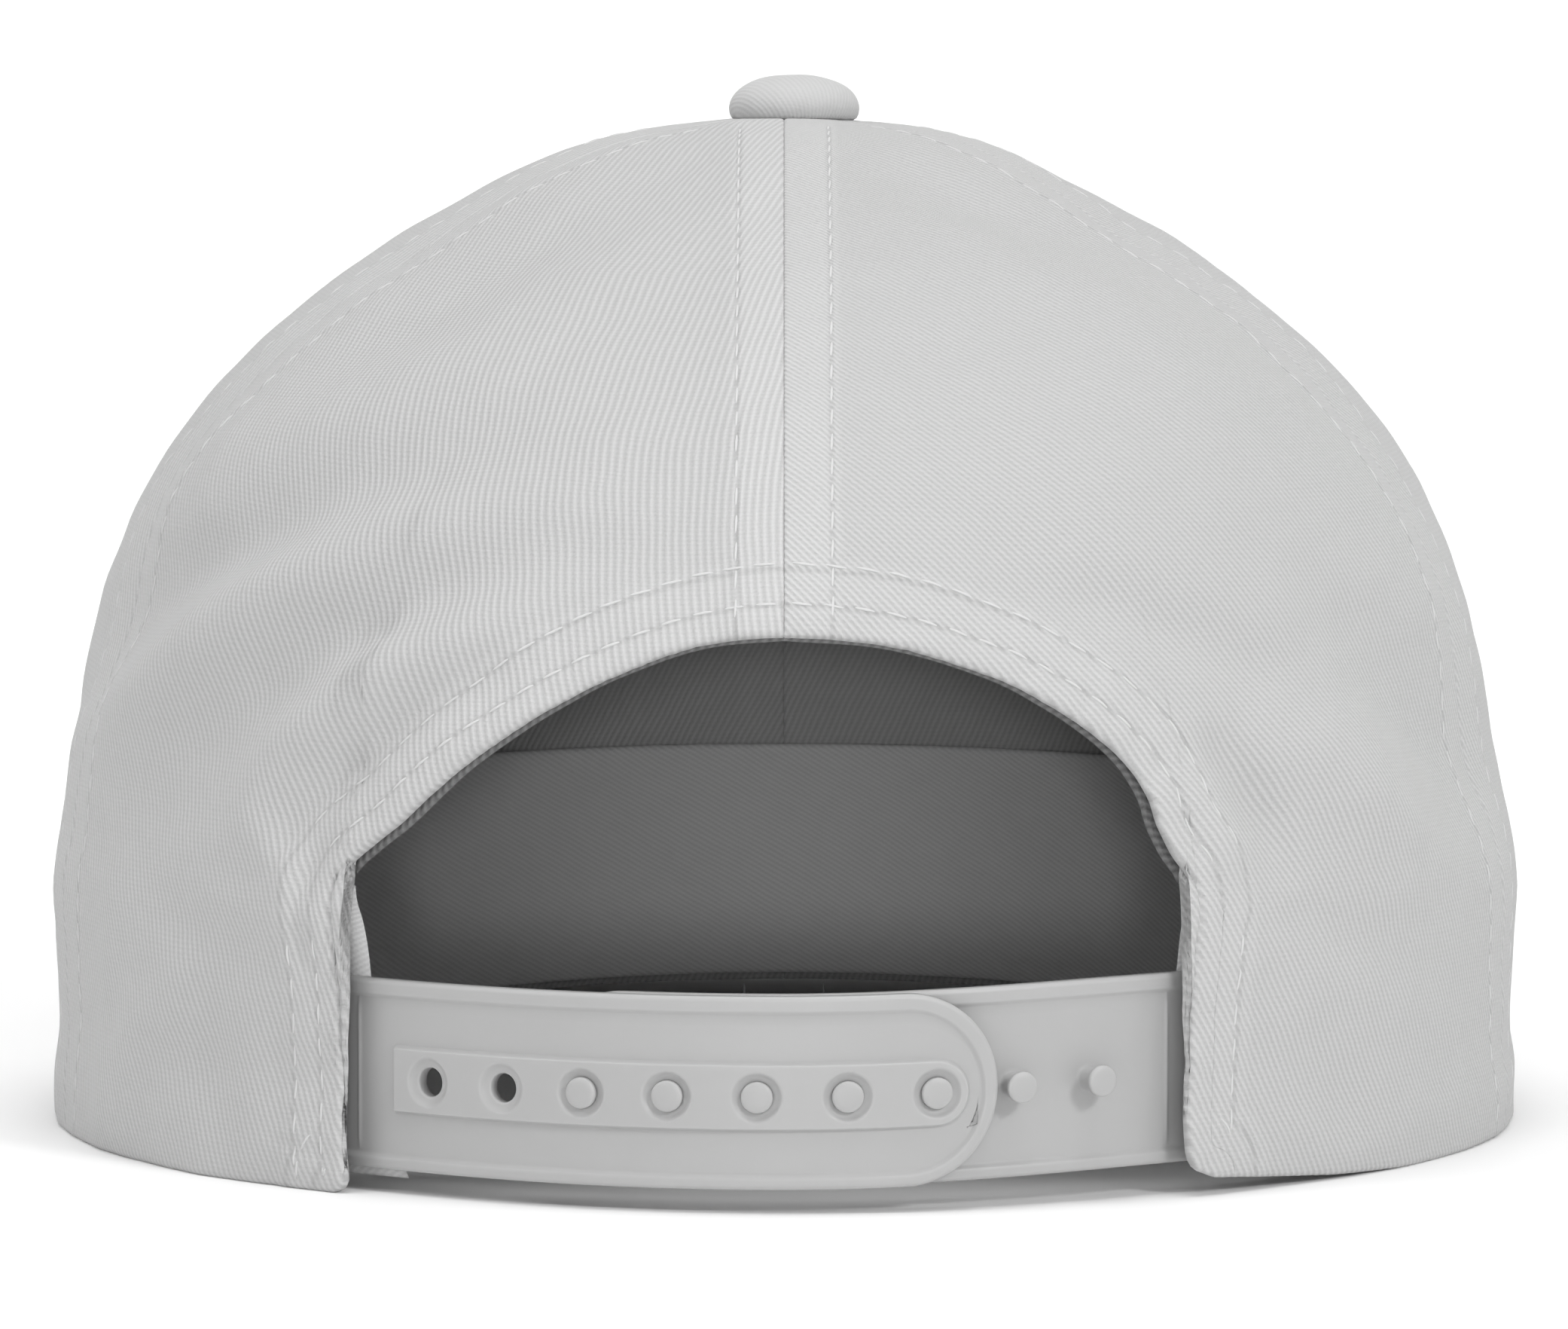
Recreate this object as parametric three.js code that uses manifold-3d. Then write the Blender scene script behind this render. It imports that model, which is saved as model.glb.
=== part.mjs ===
// Snapback cap: a six-panel cloth crown with a rear arch opening, a two-part snap strap across it,
// a sweatband, a top button and a stiff visor.
// Millimetres. +Z is up, the visor points towards -Y and the rear opening faces +Y.
// The origin is the centre of the head opening, on the plane that the cap rests on.
// An azimuth is in degrees from the back (+Y) towards the cap's left side (+X).
// A level runs from 0 at the rim to the last row of the SECTIONS table at the apex.
import * as THREE from "three";
import Module from "manifold-3d";

const wasm = await Module();
wasm.setup();

// Crown
const HALF_WIDTH = 86.5;
const HALF_LENGTH = 100;
const CROWN_HEIGHT = 117.8;
const CLOTH = 1.6;
const GAP = 0.3;
const APEX_HOLE_RADIUS = 4.6;
const ARCH_HEIGHT = 61.4;
const OPENING_ANGLE = { left: 34.2, right: 30.8 };
const RIGHT_TAB_LIFT = 2;
const PANEL_ROWS = 14;

// Sweatband and arch tape
const BAND_THICKNESS = 1.4;
const BAND_LOW = 1.2;
const BAND_TOP = 34.4;
const BAND_CLEARANCE = 0.95;
const BAND_INSET = CLOTH + BAND_CLEARANCE;
// Degrees from the tab's edge to the band's end, at its lower and its upper edge.
const BAND_END = { leftLow: -2.8, leftTop: 3.2, rightLow: -0.4, rightTop: 4.3 };
const TAPE_THICKNESS = 1.0;
const TAPE_WIDTH = 8.2;
const TAPE_SETBACK = 0.5;
const TAPE_CLEARANCE = 1.3;

// Snap strap
const STRAP_HEIGHT = 20.8;
const STRAP_LOW = 2.6;
const STRAP_RIGHT_LIFT = 0.8;
const STRAP_PLATE = 1.2;
const STRAP_END_RADIUS = 10.4;
const SNAP_PITCH = 9.7;
const SNAP_COUNT = 7;
const SNAPS_CLOSED = 5;
const SNAP_END_MARGIN = 7;
const FIRST_HOLE_FROM_TAB = 10.18;
const SNAP_LINE = 10;
const SNAP_BAND_HEIGHT = 7.4;
const SNAP_BAND_RISE = 0.7;
const SNAP_BAND_MARGIN = 5.1;
const RECESS_RADIUS = 2.7;
const RECESS_DEPTH_IN_PLATE = 0.2;
const HOLE_RADIUS = 1.6;
const PEG_NECK_RADIUS = 1.25;
const PEG_HEAD_RADIUS = 1.7;
const PEG_HEAD_THICKNESS = 0.8;
const BEAD_HEIGHT = 1.3;
const BEAD_RISE = 0.5;
const TOP_BEAD_HEIGHT = 1.7;
const STRAP_TUCK_LENGTH = 9.5;
const CROWN_WAIST = 1.7;
const STRAP_TUCK_LEFT = CLOTH + BEAD_RISE + 2 * GAP + CROWN_WAIST;
const STRAP_LAP_DEPTH = STRAP_PLATE + BEAD_RISE + 2 * GAP;
const STRAP_TUCK_RIGHT = STRAP_TUCK_LEFT - STRAP_LAP_DEPTH;
const STRAP_STEP = 0.25;
// Azimuth where the strap lies fully under the tabs' cloth.
const STRAP_TUCKED = 40;

// Button and visor
const BUTTON_RADIUS = 7.7;
const BUTTON_RISE = 4.6;
const BUTTON_OFFSET = 1.2;
const VISOR_THICKNESS = 3.4;
const VISOR_CAMBER = 5;
const VISOR_CORNER_AZIMUTH = 62;
const VISOR_HALF_WIDTH = 91;
const VISOR_LENGTH = 71;
const VISOR_CORNER_OVERHANG = 2.3;
const VISOR_SEAM_CLEARANCE = 0.5;
const VISOR_EDGE_SHARE = 0.6;

// Horizontal sections of the crown, from the rim up, as shares of its height and half sizes.
const SECTIONS = [
  { rise: 0.0, side: 1.0, back: 1.0, front: 1.0 },
  { rise: 0.045, side: 1.0, back: 1.002, front: 1.002 },
  { rise: 0.11, side: 0.992, back: 0.998, front: 0.998 },
  { rise: 0.24, side: 0.998, back: 0.99, front: 0.992 },
  { rise: 0.3, side: 0.986, back: 0.976, front: 0.986 },
  { rise: 0.38, side: 0.968, back: 0.954, front: 0.976 },
  { rise: 0.47, side: 0.948, back: 0.924, front: 0.96 },
  { rise: 0.56, side: 0.911, back: 0.882, front: 0.938 },
  { rise: 0.65, side: 0.851, back: 0.822, front: 0.906 },
  { rise: 0.735, side: 0.766, back: 0.738, front: 0.858 },
  { rise: 0.81, side: 0.655, back: 0.634, front: 0.784 },
  { rise: 0.875, side: 0.532, back: 0.518, front: 0.68 },
  { rise: 0.925, side: 0.412, back: 0.404, front: 0.55 },
  { rise: 0.962, side: 0.3, back: 0.296, front: 0.415 },
  { rise: 0.985, side: 0.19, back: 0.19, front: 0.27 },
  { rise: 0.994, side: 0.09, back: 0.09, front: 0.12 },
  { rise: 0.996, side: 0.0, back: 0.0, front: 0.0 },
];
const APEX_LEVEL = SECTIONS.length - 1;
const BUTTON_BASE = CROWN_HEIGHT * SECTIONS.at(-1).rise + 1.5 * GAP;
const TOP_LEVEL = APEX_LEVEL - APEX_HOLE_RADIUS / (HALF_WIDTH * SECTIONS.at(-2).side);

// Azimuth of the seams beside the centre seams, by rise.
const SEAM_LINES = [
  { rise: 0.0, backSide: 75, sideFront: 125 },
  { rise: 0.35, backSide: 74, sideFront: 125 },
  { rise: 0.7, backSide: 71.5, sideFront: 123 },
  { rise: 0.85, backSide: 69, sideFront: 122 },
  { rise: 0.92, backSide: 65, sideFront: 121 },
  { rise: 0.97, backSide: 60, sideFront: 120 },
  { rise: 1.0, backSide: 58, sideFront: 120 },
];

// Edge of the rear opening from the top of the arch down to the rim, on each side. Angles are
// shares of that side's half angle, and heights are shares of the arch's height.
const OPENING = [
  { leftAngle: 0, leftHeight: 1, rightAngle: 0, rightHeight: 1 },
  { leftAngle: 0.196, leftHeight: 0.987, rightAngle: 0.27, rightHeight: 0.987 },
  { leftAngle: 0.393, leftHeight: 0.934, rightAngle: 0.536, rightHeight: 0.933 },
  { leftAngle: 0.532, leftHeight: 0.878, rightAngle: 0.691, rightHeight: 0.877 },
  { leftAngle: 0.64, leftHeight: 0.823, rightAngle: 0.806, rightHeight: 0.821 },
  { leftAngle: 0.737, leftHeight: 0.768, rightAngle: 0.888, rightHeight: 0.767 },
  { leftAngle: 0.816, leftHeight: 0.714, rightAngle: 0.934, rightHeight: 0.713 },
  { leftAngle: 0.888, leftHeight: 0.66, rightAngle: 0.954, rightHeight: 0.66 },
  { leftAngle: 0.964, leftHeight: 0.614, rightAngle: 0.99, rightHeight: 0.606 },
  { leftAngle: 1.021, leftHeight: 0.573, rightAngle: 1.03, rightHeight: 0.562 },
  { leftAngle: 1.039, leftHeight: 0.519, rightAngle: 1.039, rightHeight: 0.506 },
  { leftAngle: 1.018, leftHeight: 0.414, rightAngle: 1.016, rightHeight: 0.401 },
  { leftAngle: 1.006, leftHeight: 0.304, rightAngle: 1.003, rightHeight: 0.296 },
  { leftAngle: 1, leftHeight: 0.189, rightAngle: 0.997, rightHeight: 0.189 },
  { leftAngle: 0.994, leftHeight: 0.074, rightAngle: 0.993, rightHeight: 0.099 },
  { leftAngle: 0.988, leftHeight: 0.02, rightAngle: 1.01, rightHeight: 0.053 },
  { leftAngle: 1.015, leftHeight: 0, rightAngle: 1.066, rightHeight: 0.033 },
];

// How much of the right tab's lift the rim has, by azimuth.
const RIM_RIGHT = [
  { azimuth: 0, lift: 1.0 },
  { azimuth: 32.4, lift: 1.0 },
  { azimuth: 38, lift: 0.65 },
  { azimuth: 45, lift: 0.25 },
  { azimuth: 54, lift: 0.0 },
  { azimuth: 180, lift: 0.0 },
];

// Main folds of the back panels, as curves in the rear view through a start, a middle and an end.
// The x values, widths and rises are shares of the crown's half width, and the z values are
// shares of its height.
const FOLDS = [
  {
    name: "left crown valley",
    x0: 0.76, z0: 0.63, xm: 0.54, zm: 0.79, x1: 0.16, z1: 0.88, width: 0.055, rise: -0.014,
  },
  {
    name: "left crown ridge",
    x0: 0.88, z0: 0.54, xm: 0.64, zm: 0.7, x1: 0.2, z1: 0.79, width: 0.055, rise: 0.014,
  },
  {
    name: "left long valley",
    x0: 0.96, z0: 0.36, xm: 0.75, zm: 0.575, x1: 0.24, z1: 0.72, width: 0.052, rise: -0.024,
  },
  {
    name: "left long ridge",
    x0: 0.96, z0: 0.28, xm: 0.74, zm: 0.515, x1: 0.18, z1: 0.67, width: 0.052, rise: 0.024,
  },
  {
    name: "arch high valley",
    x0: 0.88, z0: 0.24, xm: 0.6, zm: 0.5, x1: 0.06, z1: 0.6, width: 0.052, rise: -0.02,
  },
  {
    name: "arch ridge",
    x0: 0.72, z0: 0.28, xm: 0.55, zm: 0.465, x1: 0.16, z1: 0.585, width: 0.042, rise: 0.024,
  },
  {
    name: "arch low valley",
    x0: 0.66, z0: 0.29, xm: 0.5, zm: 0.425, x1: 0.24, z1: 0.52, width: 0.03, rise: -0.015,
  },
  {
    name: "left tab ridge",
    x0: 0.72, z0: 0.35, xm: 0.64, zm: 0.29, x1: 0.66, z1: 0.2, width: 0.03, rise: 0.012,
  },
  {
    name: "left side valley",
    x0: 0.88, z0: 0.28, xm: 0.76, zm: 0.235, x1: 0.64, z1: 0.2, width: 0.04, rise: -0.011,
  },
  {
    name: "left low valley",
    x0: 0.74, z0: 0.22, xm: 0.735, zm: 0.11, x1: 0.72, z1: 0.0, width: 0.03, rise: -0.01,
  },
  {
    name: "left low ridge",
    x0: 0.92, z0: 0.0, xm: 0.84, zm: 0.12, x1: 0.77, z1: 0.22, width: 0.035, rise: 0.009,
  },
  {
    name: "right side valley",
    x0: -0.64, z0: 0.59, xm: -0.83, zm: 0.44, x1: -0.94, z1: 0.29, width: 0.065, rise: -0.028,
  },
  {
    name: "right side ridge",
    x0: -0.58, z0: 0.45, xm: -0.73, zm: 0.37, x1: -0.86, z1: 0.24, width: 0.06, rise: 0.022,
  },
  {
    name: "right tab valley",
    x0: -0.52, z0: 0.44, xm: -0.6, zm: 0.36, x1: -0.65, z1: 0.27, width: 0.027, rise: -0.019,
  },
  {
    name: "right tab ridge",
    x0: -0.47, z0: 0.41, xm: -0.535, zm: 0.345, x1: -0.57, z1: 0.27, width: 0.023, rise: 0.01,
  },
  {
    name: "right arch valley",
    x0: -0.22, z0: 0.57, xm: -0.48, zm: 0.525, x1: -0.76, z1: 0.41, width: 0.04, rise: -0.014,
  },
  {
    name: "right tab hollow",
    x0: -0.56, z0: 0.26, xm: -0.73, zm: 0.235, x1: -0.9, z1: 0.18, width: 0.05, rise: -0.01,
  },
  {
    name: "right low valley",
    x0: -0.66, z0: 0.16, xm: -0.71, zm: 0.09, x1: -0.74, z1: 0.02, width: 0.035, rise: -0.006,
  },
  {
    name: "right top valley",
    x0: -0.02, z0: 0.965, xm: -0.3, zm: 0.91, x1: -0.68, z1: 0.77, width: 0.04, rise: -0.016,
  },
  {
    name: "right top ridge",
    x0: -0.04, z0: 0.99, xm: -0.24, zm: 0.95, x1: -0.46, z1: 0.88, width: 0.035, rise: 0.01,
  },
  {
    name: "left top valley",
    x0: 0.04, z0: 0.96, xm: 0.3, zm: 0.89, x1: 0.58, z1: 0.825, width: 0.04, rise: -0.014,
  },
];

// Seams as soft ridges or valleys across the cloth, in shares of the crown's half width.
const SEAM_RELIEF = [
  { seam: "centreBack", width: 0.081, rise: 0.0058 },
  { seam: "backSide", width: 0.058, rise: -0.0081 },
  { seam: "sideFront", width: 0.058, rise: -0.0081 },
  { seam: "centreFront", width: 0.058, rise: -0.0058 },
];

// Outer edge of the visor's half, from the centre line towards the corner at the crown, which
// follows the last row: x is a share of its half width, and reach is a share of the way from the
// corner to the visor's front.
const VISOR_EDGE = [
  { x: 0.0, reach: 1.0 },
  { x: 0.32, reach: 0.988 },
  { x: 0.605, reach: 0.935 },
  { x: 0.835, reach: 0.82 },
  { x: 0.962, reach: 0.649 },
  { x: 0.998, reach: 0.445 },
  { x: 0.962, reach: 0.241 },
];
// Where along the visor's half each of those rows and the corner stands.
const VISOR_STATIONS = [0, 0.18, 0.36, 0.54, 0.7, 0.84, 0.94, 1];

const radians = (degrees) => (degrees * Math.PI) / 180;
const clamp = (value, low, high) => Math.min(high, Math.max(low, value));
const mix = (a, b, share) => a + (b - a) * share;
const smooth = (value, low, high) => {
  const share = clamp((value - low) / (high - low), 0, 1);
  return share * share * (3 - 2 * share);
};

// Value of a table's column at a fractional row, by a smooth curve through the rows.
function atRow(table, column, row) {
  const last = table.length - 1;
  const at = clamp(row, 0, last - 1e-9);
  const i = Math.floor(at);
  const t = at - i;
  const value = (k) => {
    if (k < 0) return 2 * table[0][column] - table[1][column];
    if (k > last) return 2 * table[last][column] - table[last - 1][column];
    return table[k][column];
  };
  const [a, b, c, d] = [value(i - 1), value(i), value(i + 1), value(i + 2)];
  const curve = 2 * b + (c - a) * t + (2 * a - 5 * b + 4 * c - d) * t * t;
  return 0.5 * (curve + (3 * b - a - 3 * c + d) * t * t * t);
}

// Value of a table's column where its key column, which grows down the table, reaches a value.
function atKey(table, key, column, value) {
  const last = table.length - 1;
  if (value <= table[0][key]) return table[0][column];
  if (value >= table[last][key]) return table[last][column];
  const i = table.findIndex((row) => row[key] > value) - 1;
  const share = (value - table[i][key]) / (table[i + 1][key] - table[i][key]);
  return mix(table[i][column], table[i + 1][column], share);
}

function levelAtHeight(height) {
  let low = 0;
  let high = APEX_LEVEL;
  for (let step = 0; step < 40; step++) {
    const middle = (low + high) / 2;
    if (atRow(SECTIONS, "rise", middle) * CROWN_HEIGHT < height) low = middle;
    else high = middle;
  }
  return (low + high) / 2;
}

function seamAzimuth(seam, level) {
  if (seam === "centreBack") return 0;
  if (seam === "centreFront") return 180;
  return atKey(SEAM_LINES, "rise", seam, atRow(SECTIONS, "rise", level));
}

// The crown without folds.
function basePoint(azimuth, level) {
  const sine = Math.sin(radians(azimuth));
  const cosine = Math.cos(radians(azimuth));
  const end = atRow(SECTIONS, cosine > 0 ? "back" : "front", level);
  const share = mix(atRow(SECTIONS, "side", level), end, cosine * cosine);
  return new THREE.Vector3(
    HALF_WIDTH * share * sine,
    HALF_LENGTH * share * cosine,
    CROWN_HEIGHT * atRow(SECTIONS, "rise", level),
  );
}

function baseNormal(azimuth, level) {
  const low = Math.max(0, level - 0.05);
  const high = Math.min(APEX_LEVEL - 0.2, level + 0.05);
  const around = basePoint(azimuth + 0.5, level).sub(basePoint(azimuth - 0.5, level));
  const upward = basePoint(azimuth, Math.max(high, low + 0.05)).sub(basePoint(azimuth, low));
  const normal = upward.cross(around).normalize();
  normal.z *= smooth(level, 0, 0.6);
  return normal.normalize();
}

// Chords of a fold's curve, the parabola through its three points, in the rear view.
const FOLD_CHORDS = 12;
function foldPoints(fold) {
  const bendX = 2 * fold.xm - (fold.x0 + fold.x1) / 2;
  const bendZ = 2 * fold.zm - (fold.z0 + fold.z1) / 2;
  return Array.from({ length: FOLD_CHORDS + 1 }, (_, i) => {
    const t = i / FOLD_CHORDS;
    const shares = [(1 - t) ** 2, 2 * t * (1 - t), t ** 2];
    return {
      x: HALF_WIDTH * (shares[0] * fold.x0 + shares[1] * bendX + shares[2] * fold.x1),
      z: CROWN_HEIGHT * (shares[0] * fold.z0 + shares[1] * bendZ + shares[2] * fold.z1),
    };
  });
}
const FOLD_CURVES = FOLDS.map((fold) => ({ ...fold, points: foldPoints(fold) }));

// Rise of one fold at a point of the rear view. It fades to nothing at the curve's ends.
function foldRise(x, z, fold) {
  let [nearest, station] = [Infinity, 0];
  for (let i = 0; i < FOLD_CHORDS; i++) {
    const [a, b] = [fold.points[i], fold.points[i + 1]];
    const [dx, dz] = [b.x - a.x, b.z - a.z];
    const along = clamp(((x - a.x) * dx + (z - a.z) * dz) / (dx * dx + dz * dz), 0, 1);
    const distance = Math.hypot(x - a.x - along * dx, z - a.z - along * dz);
    if (distance < nearest) [nearest, station] = [distance, (i + along) / FOLD_CHORDS];
  }
  const taper = (4 * station * (1 - station)) ** 1.5;
  return HALF_WIDTH * fold.rise * taper * Math.exp(-((nearest / fold.width / HALF_WIDTH) ** 2));
}

// Rise of folds and seams above the plain crown.
function reliefAt(azimuth, level, point) {
  let rise = 0;
  if (point.y > 0)
    for (const fold of FOLD_CURVES) rise += foldRise(point.x, point.z, fold);
  rise *= smooth(point.y, 0, 0.18 * HALF_LENGTH);
  const away = Math.abs(((azimuth + 540) % 360) - 180);
  const radius = Math.hypot(point.x, point.y);
  for (const row of SEAM_RELIEF) {
    const distance = radians(Math.abs(away - seamAzimuth(row.seam, level))) * radius;
    const share = Math.exp(-((distance / row.width / HALF_WIDTH) ** 2));
    const fade = smooth(point.z, 0.25 * CROWN_HEIGHT, 0.42 * CROWN_HEIGHT);
    rise += HALF_WIDTH * row.rise * share * fade;
  }
  return rise * smooth(radius, 1.3 * APEX_HOLE_RADIUS, 3.5 * APEX_HOLE_RADIUS);
}

// A point of the cloth, a depth under its outer face.
function clothPoint(azimuth, level, depth = 0) {
  const point = basePoint(azimuth, level);
  const rise = reliefAt(azimuth, level, point);
  return point.addScaledVector(baseNormal(azimuth, level), rise - depth);
}

// Height of the rim above the resting plane: a lifted right tab and a front that follows the visor.
function rimHeight(azimuth) {
  if (azimuth < 0 && azimuth > -90)
    return RIGHT_TAB_LIFT * atKey(RIM_RIGHT, "azimuth", "lift", -azimuth);
  const x = HALF_WIDTH * Math.sin(radians(azimuth));
  const share = 1 - (x / VISOR_HALF_WIDTH) ** 2;
  return VISOR_CAMBER * share * smooth(-Math.cos(radians(azimuth)), 0.05, 0.4);
}

// Points spread evenly along a polyline in azimuth and level.
function resample(points, count) {
  const place = (p) => basePoint(p[0], p[1]);
  const reach = [0];
  for (let i = 1; i < points.length; i++)
    reach.push(reach[i - 1] + place(points[i]).distanceTo(place(points[i - 1])));
  return Array.from({ length: count + 1 }, (_, k) => {
    const target = (reach.at(-1) * k) / count;
    const i = clamp(reach.findIndex((length) => length >= target - 1e-9), 1, points.length - 1);
    const share = (target - reach[i - 1]) / (reach[i] - reach[i - 1]);
    return points[i].map((value, axis) => mix(points[i - 1][axis], value, clamp(share, 0, 1)));
  });
}

// One side of the opening's edge from the arch's top to the rim, as azimuth and level.
function openingEdge(sign, fromRow = 0, toRow = OPENING.length - 1) {
  const side = sign > 0 ? "left" : "right";
  const steps = Math.round((toRow - fromRow) * 8);
  return Array.from({ length: steps + 1 }, (_, k) => {
    const row = mix(fromRow, toRow, k / steps);
    const azimuth = sign * OPENING_ANGLE[side] * atRow(OPENING, side + "Angle", row);
    const height = ARCH_HEIGHT * atRow(OPENING, side + "Height", row);
    return [azimuth, levelAtHeight(Math.max(0, height))];
  });
}

// A closed mesh from two facing grids of points with the same counts; the first faces outwards.
function slab(outer, inner) {
  const rows = outer.length;
  const columns = outer[0].length;
  const points = [...outer.flat(), ...inner.flat()];
  const back = rows * columns;
  const at = (i, j) => i * columns + j;
  const index = [];
  const quad = (a, b, c, d) => index.push(a, b, c, a, c, d);
  for (let i = 0; i + 1 < rows; i++)
    for (let j = 0; j + 1 < columns; j++) {
      const corners = [at(i, j), at(i + 1, j), at(i + 1, j + 1), at(i, j + 1)];
      quad(...corners);
      quad(...corners.map((k) => k + back).reverse());
    }
  for (let i = 0; i + 1 < rows; i++) {
    quad(at(i + 1, 0), at(i, 0), at(i, 0) + back, at(i + 1, 0) + back);
    const [low, high] = [at(i, columns - 1), at(i + 1, columns - 1)];
    quad(low, high, high + back, low + back);
  }
  for (let j = 0; j + 1 < columns; j++) {
    quad(at(0, j), at(0, j + 1), at(0, j + 1) + back, at(0, j) + back);
    const [left, right] = [at(rows - 1, j), at(rows - 1, j + 1)];
    quad(right, left, left + back, right + back);
  }
  const geometry = new THREE.BufferGeometry();
  geometry.setAttribute(
    "position",
    new THREE.Float32BufferAttribute(points.flatMap((p) => p.toArray()), 3),
  );
  geometry.setIndex(index);
  return facingOut(geometry);
}

// The geometry with its faces turned outwards.
function facingOut(geometry) {
  const position = geometry.getAttribute("position");
  const index = geometry.index.array;
  const [a, b, c] = [new THREE.Vector3(), new THREE.Vector3(), new THREE.Vector3()];
  let volume = 0;
  for (let i = 0; i < index.length; i += 3) {
    a.fromBufferAttribute(position, index[i]);
    b.fromBufferAttribute(position, index[i + 1]);
    c.fromBufferAttribute(position, index[i + 2]);
    volume += a.dot(b.cross(c));
  }
  if (volume < 0)
    for (let i = 0; i < index.length; i += 3)
      [index[i + 1], index[i + 2]] = [index[i + 2], index[i + 1]];
  return geometry;
}

// Grid of a panel between two seams, fanned from its lower edge to the apex hole.
function panelGrid(lowerEdge, sign, from, to, depth) {
  const columns = lowerEdge.length - 1;
  return lowerEdge.map(([azimuth, level], i) => {
    const [lowFrom, lowTo] = [seamAzimuth(from, level), seamAzimuth(to, level)];
    const lowShare = (Math.abs(azimuth) - lowFrom) / (lowTo - lowFrom);
    return Array.from({ length: PANEL_ROWS + 1 }, (_, j) => {
      const share = (j / PANEL_ROWS) ** 0.92;
      const up = mix(level, TOP_LEVEL, share);
      const [start, end] = [seamSide(from, up, 1), seamSide(to, up, -1)];
      const across = clamp(mix(lowShare, i / columns, share), 0, 1);
      return clothPoint(sign * mix(start, end, across), up, depth);
    });
  });
}

// Azimuth of a seam at a level, moved half a gap into the panel on one side of it.
function seamSide(seam, level, into) {
  const azimuth = seamAzimuth(seam, level);
  const radius = Math.max(2, basePoint(azimuth, level).setZ(0).length());
  return azimuth + (into * GAP * 90) / Math.PI / radius;
}

function rimEdge(from, to, count) {
  return Array.from({ length: count + 1 }, (_, k) => {
    const azimuth = mix(from, to, k / count);
    return [azimuth, levelAtHeight(rimHeight(azimuth))];
  });
}

function panel(lowerEdge, sign, from, to) {
  const grid = (depth) => panelGrid(lowerEdge, sign, from, to, depth);
  return slab(grid(0), grid(CLOTH));
}

// The arch's half from its top to the tab, at the columns that the panel and the tape share.
function archEdge(sign) {
  return resample(openingEdge(sign, 0, 9.5), 14);
}

function backPanel(sign) {
  const arch = archEdge(sign);
  const tab = resample(openingEdge(sign, 9.5, OPENING.length - 1), 6);
  const rim = rimEdge(tab.at(-1)[0], sign * seamAzimuth("backSide", 0), 7);
  const edge = [...arch, ...tab.slice(1), ...rim.slice(1)];
  return panel(edge, sign, "centreBack", "backSide");
}

// A strip of cloth inside the crown, given by its lower and upper edges in azimuth and level.
function strip(lower, upper, rows, insetAt, thickness) {
  const grid = (depth) =>
    lower.map((low, i) =>
      Array.from({ length: rows + 1 }, (_, j) => {
        const [azimuth, level] = [0, 1].map((axis) => mix(low[axis], upper[i][axis], j / rows));
        return clothPoint(azimuth, level, insetAt(azimuth) + depth);
      }),
    );
  return slab(grid(0), grid(thickness));
}

// Inset of the sweatband: deeper near its ends, where the strap lies between it and the cloth.
function bandInset(azimuth) {
  const away = Math.abs(((azimuth + 540) % 360) - 180);
  const overStrap = STRAP_TUCK_LEFT + STRAP_PLATE + 2 * GAP;
  const clear = OPENING_ANGLE.left + 9;
  return mix(overStrap, BAND_INSET, smooth(away, clear, clear + 18));
}

function sweatband() {
  const count = 48;
  const edge = (height, left, right) =>
    Array.from({ length: count + 1 }, (_, k) => {
      const share = k / count;
      const azimuth = mix(left, 360 - right, share);
      const signed = azimuth > 180 ? azimuth - 360 : azimuth;
      const lift = rimHeight(signed) * (height < 10 ? 1 : 0.4);
      return [signed < 0 ? signed + 360 : signed, levelAtHeight(height + lift)];
    });
  const { left, right } = OPENING_ANGLE;
  const low = edge(BAND_LOW, left + BAND_END.leftLow, right + BAND_END.rightLow);
  const top = edge(BAND_TOP, left + BAND_END.leftTop, right + BAND_END.rightTop);
  return strip(low, top, 4, bandInset, BAND_THICKNESS);
}

// The opening's edge moved a distance into the cloth, at right angles to it.
function insetEdge(edge, distance) {
  return edge.map((point, i) => {
    const before = edge[Math.max(0, i - 2)];
    const after = edge[Math.min(edge.length - 1, i + 2)];
    const here = basePoint(...point);
    const radius = here.clone().setZ(0).length();
    const dx = radians(after[0] - before[0]) * radius;
    const dz = basePoint(...after).z - basePoint(...before).z;
    const length = Math.hypot(dx, dz);
    const azimuth = point[0] + ((-dz / length) * distance * 180) / Math.PI / radius;
    return [azimuth, levelAtHeight(here.z + (dx / length) * distance)];
  });
}

function archTape() {
  const [left, right] = [1, -1].map((sign) => archEdge(sign).slice(0, -1));
  const whole = [...right.reverse(), ...left.slice(1)];
  const inset = () => CLOTH + TAPE_CLEARANCE;
  return strip(
    insetEdge(whole, TAPE_SETBACK),
    insetEdge(whole, TAPE_SETBACK + TAPE_WIDTH),
    3,
    inset,
    TAPE_THICKNESS,
  );
}

// Plan of the strap: where it stands at an azimuth, drawn in under the tabs and out between them.
function strapPlan(azimuth, inset) {
  const deepest = azimuth > 0 ? STRAP_TUCK_LEFT : STRAP_TUCK_RIGHT;
  const tuck = mix(0, deepest, smooth(Math.abs(azimuth), 0, STRAP_TUCKED));
  const sine = Math.sin(radians(azimuth));
  const cosine = Math.cos(radians(azimuth));
  return [(HALF_WIDTH - tuck - inset) * sine, (HALF_LENGTH - tuck - inset) * cosine];
}

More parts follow.
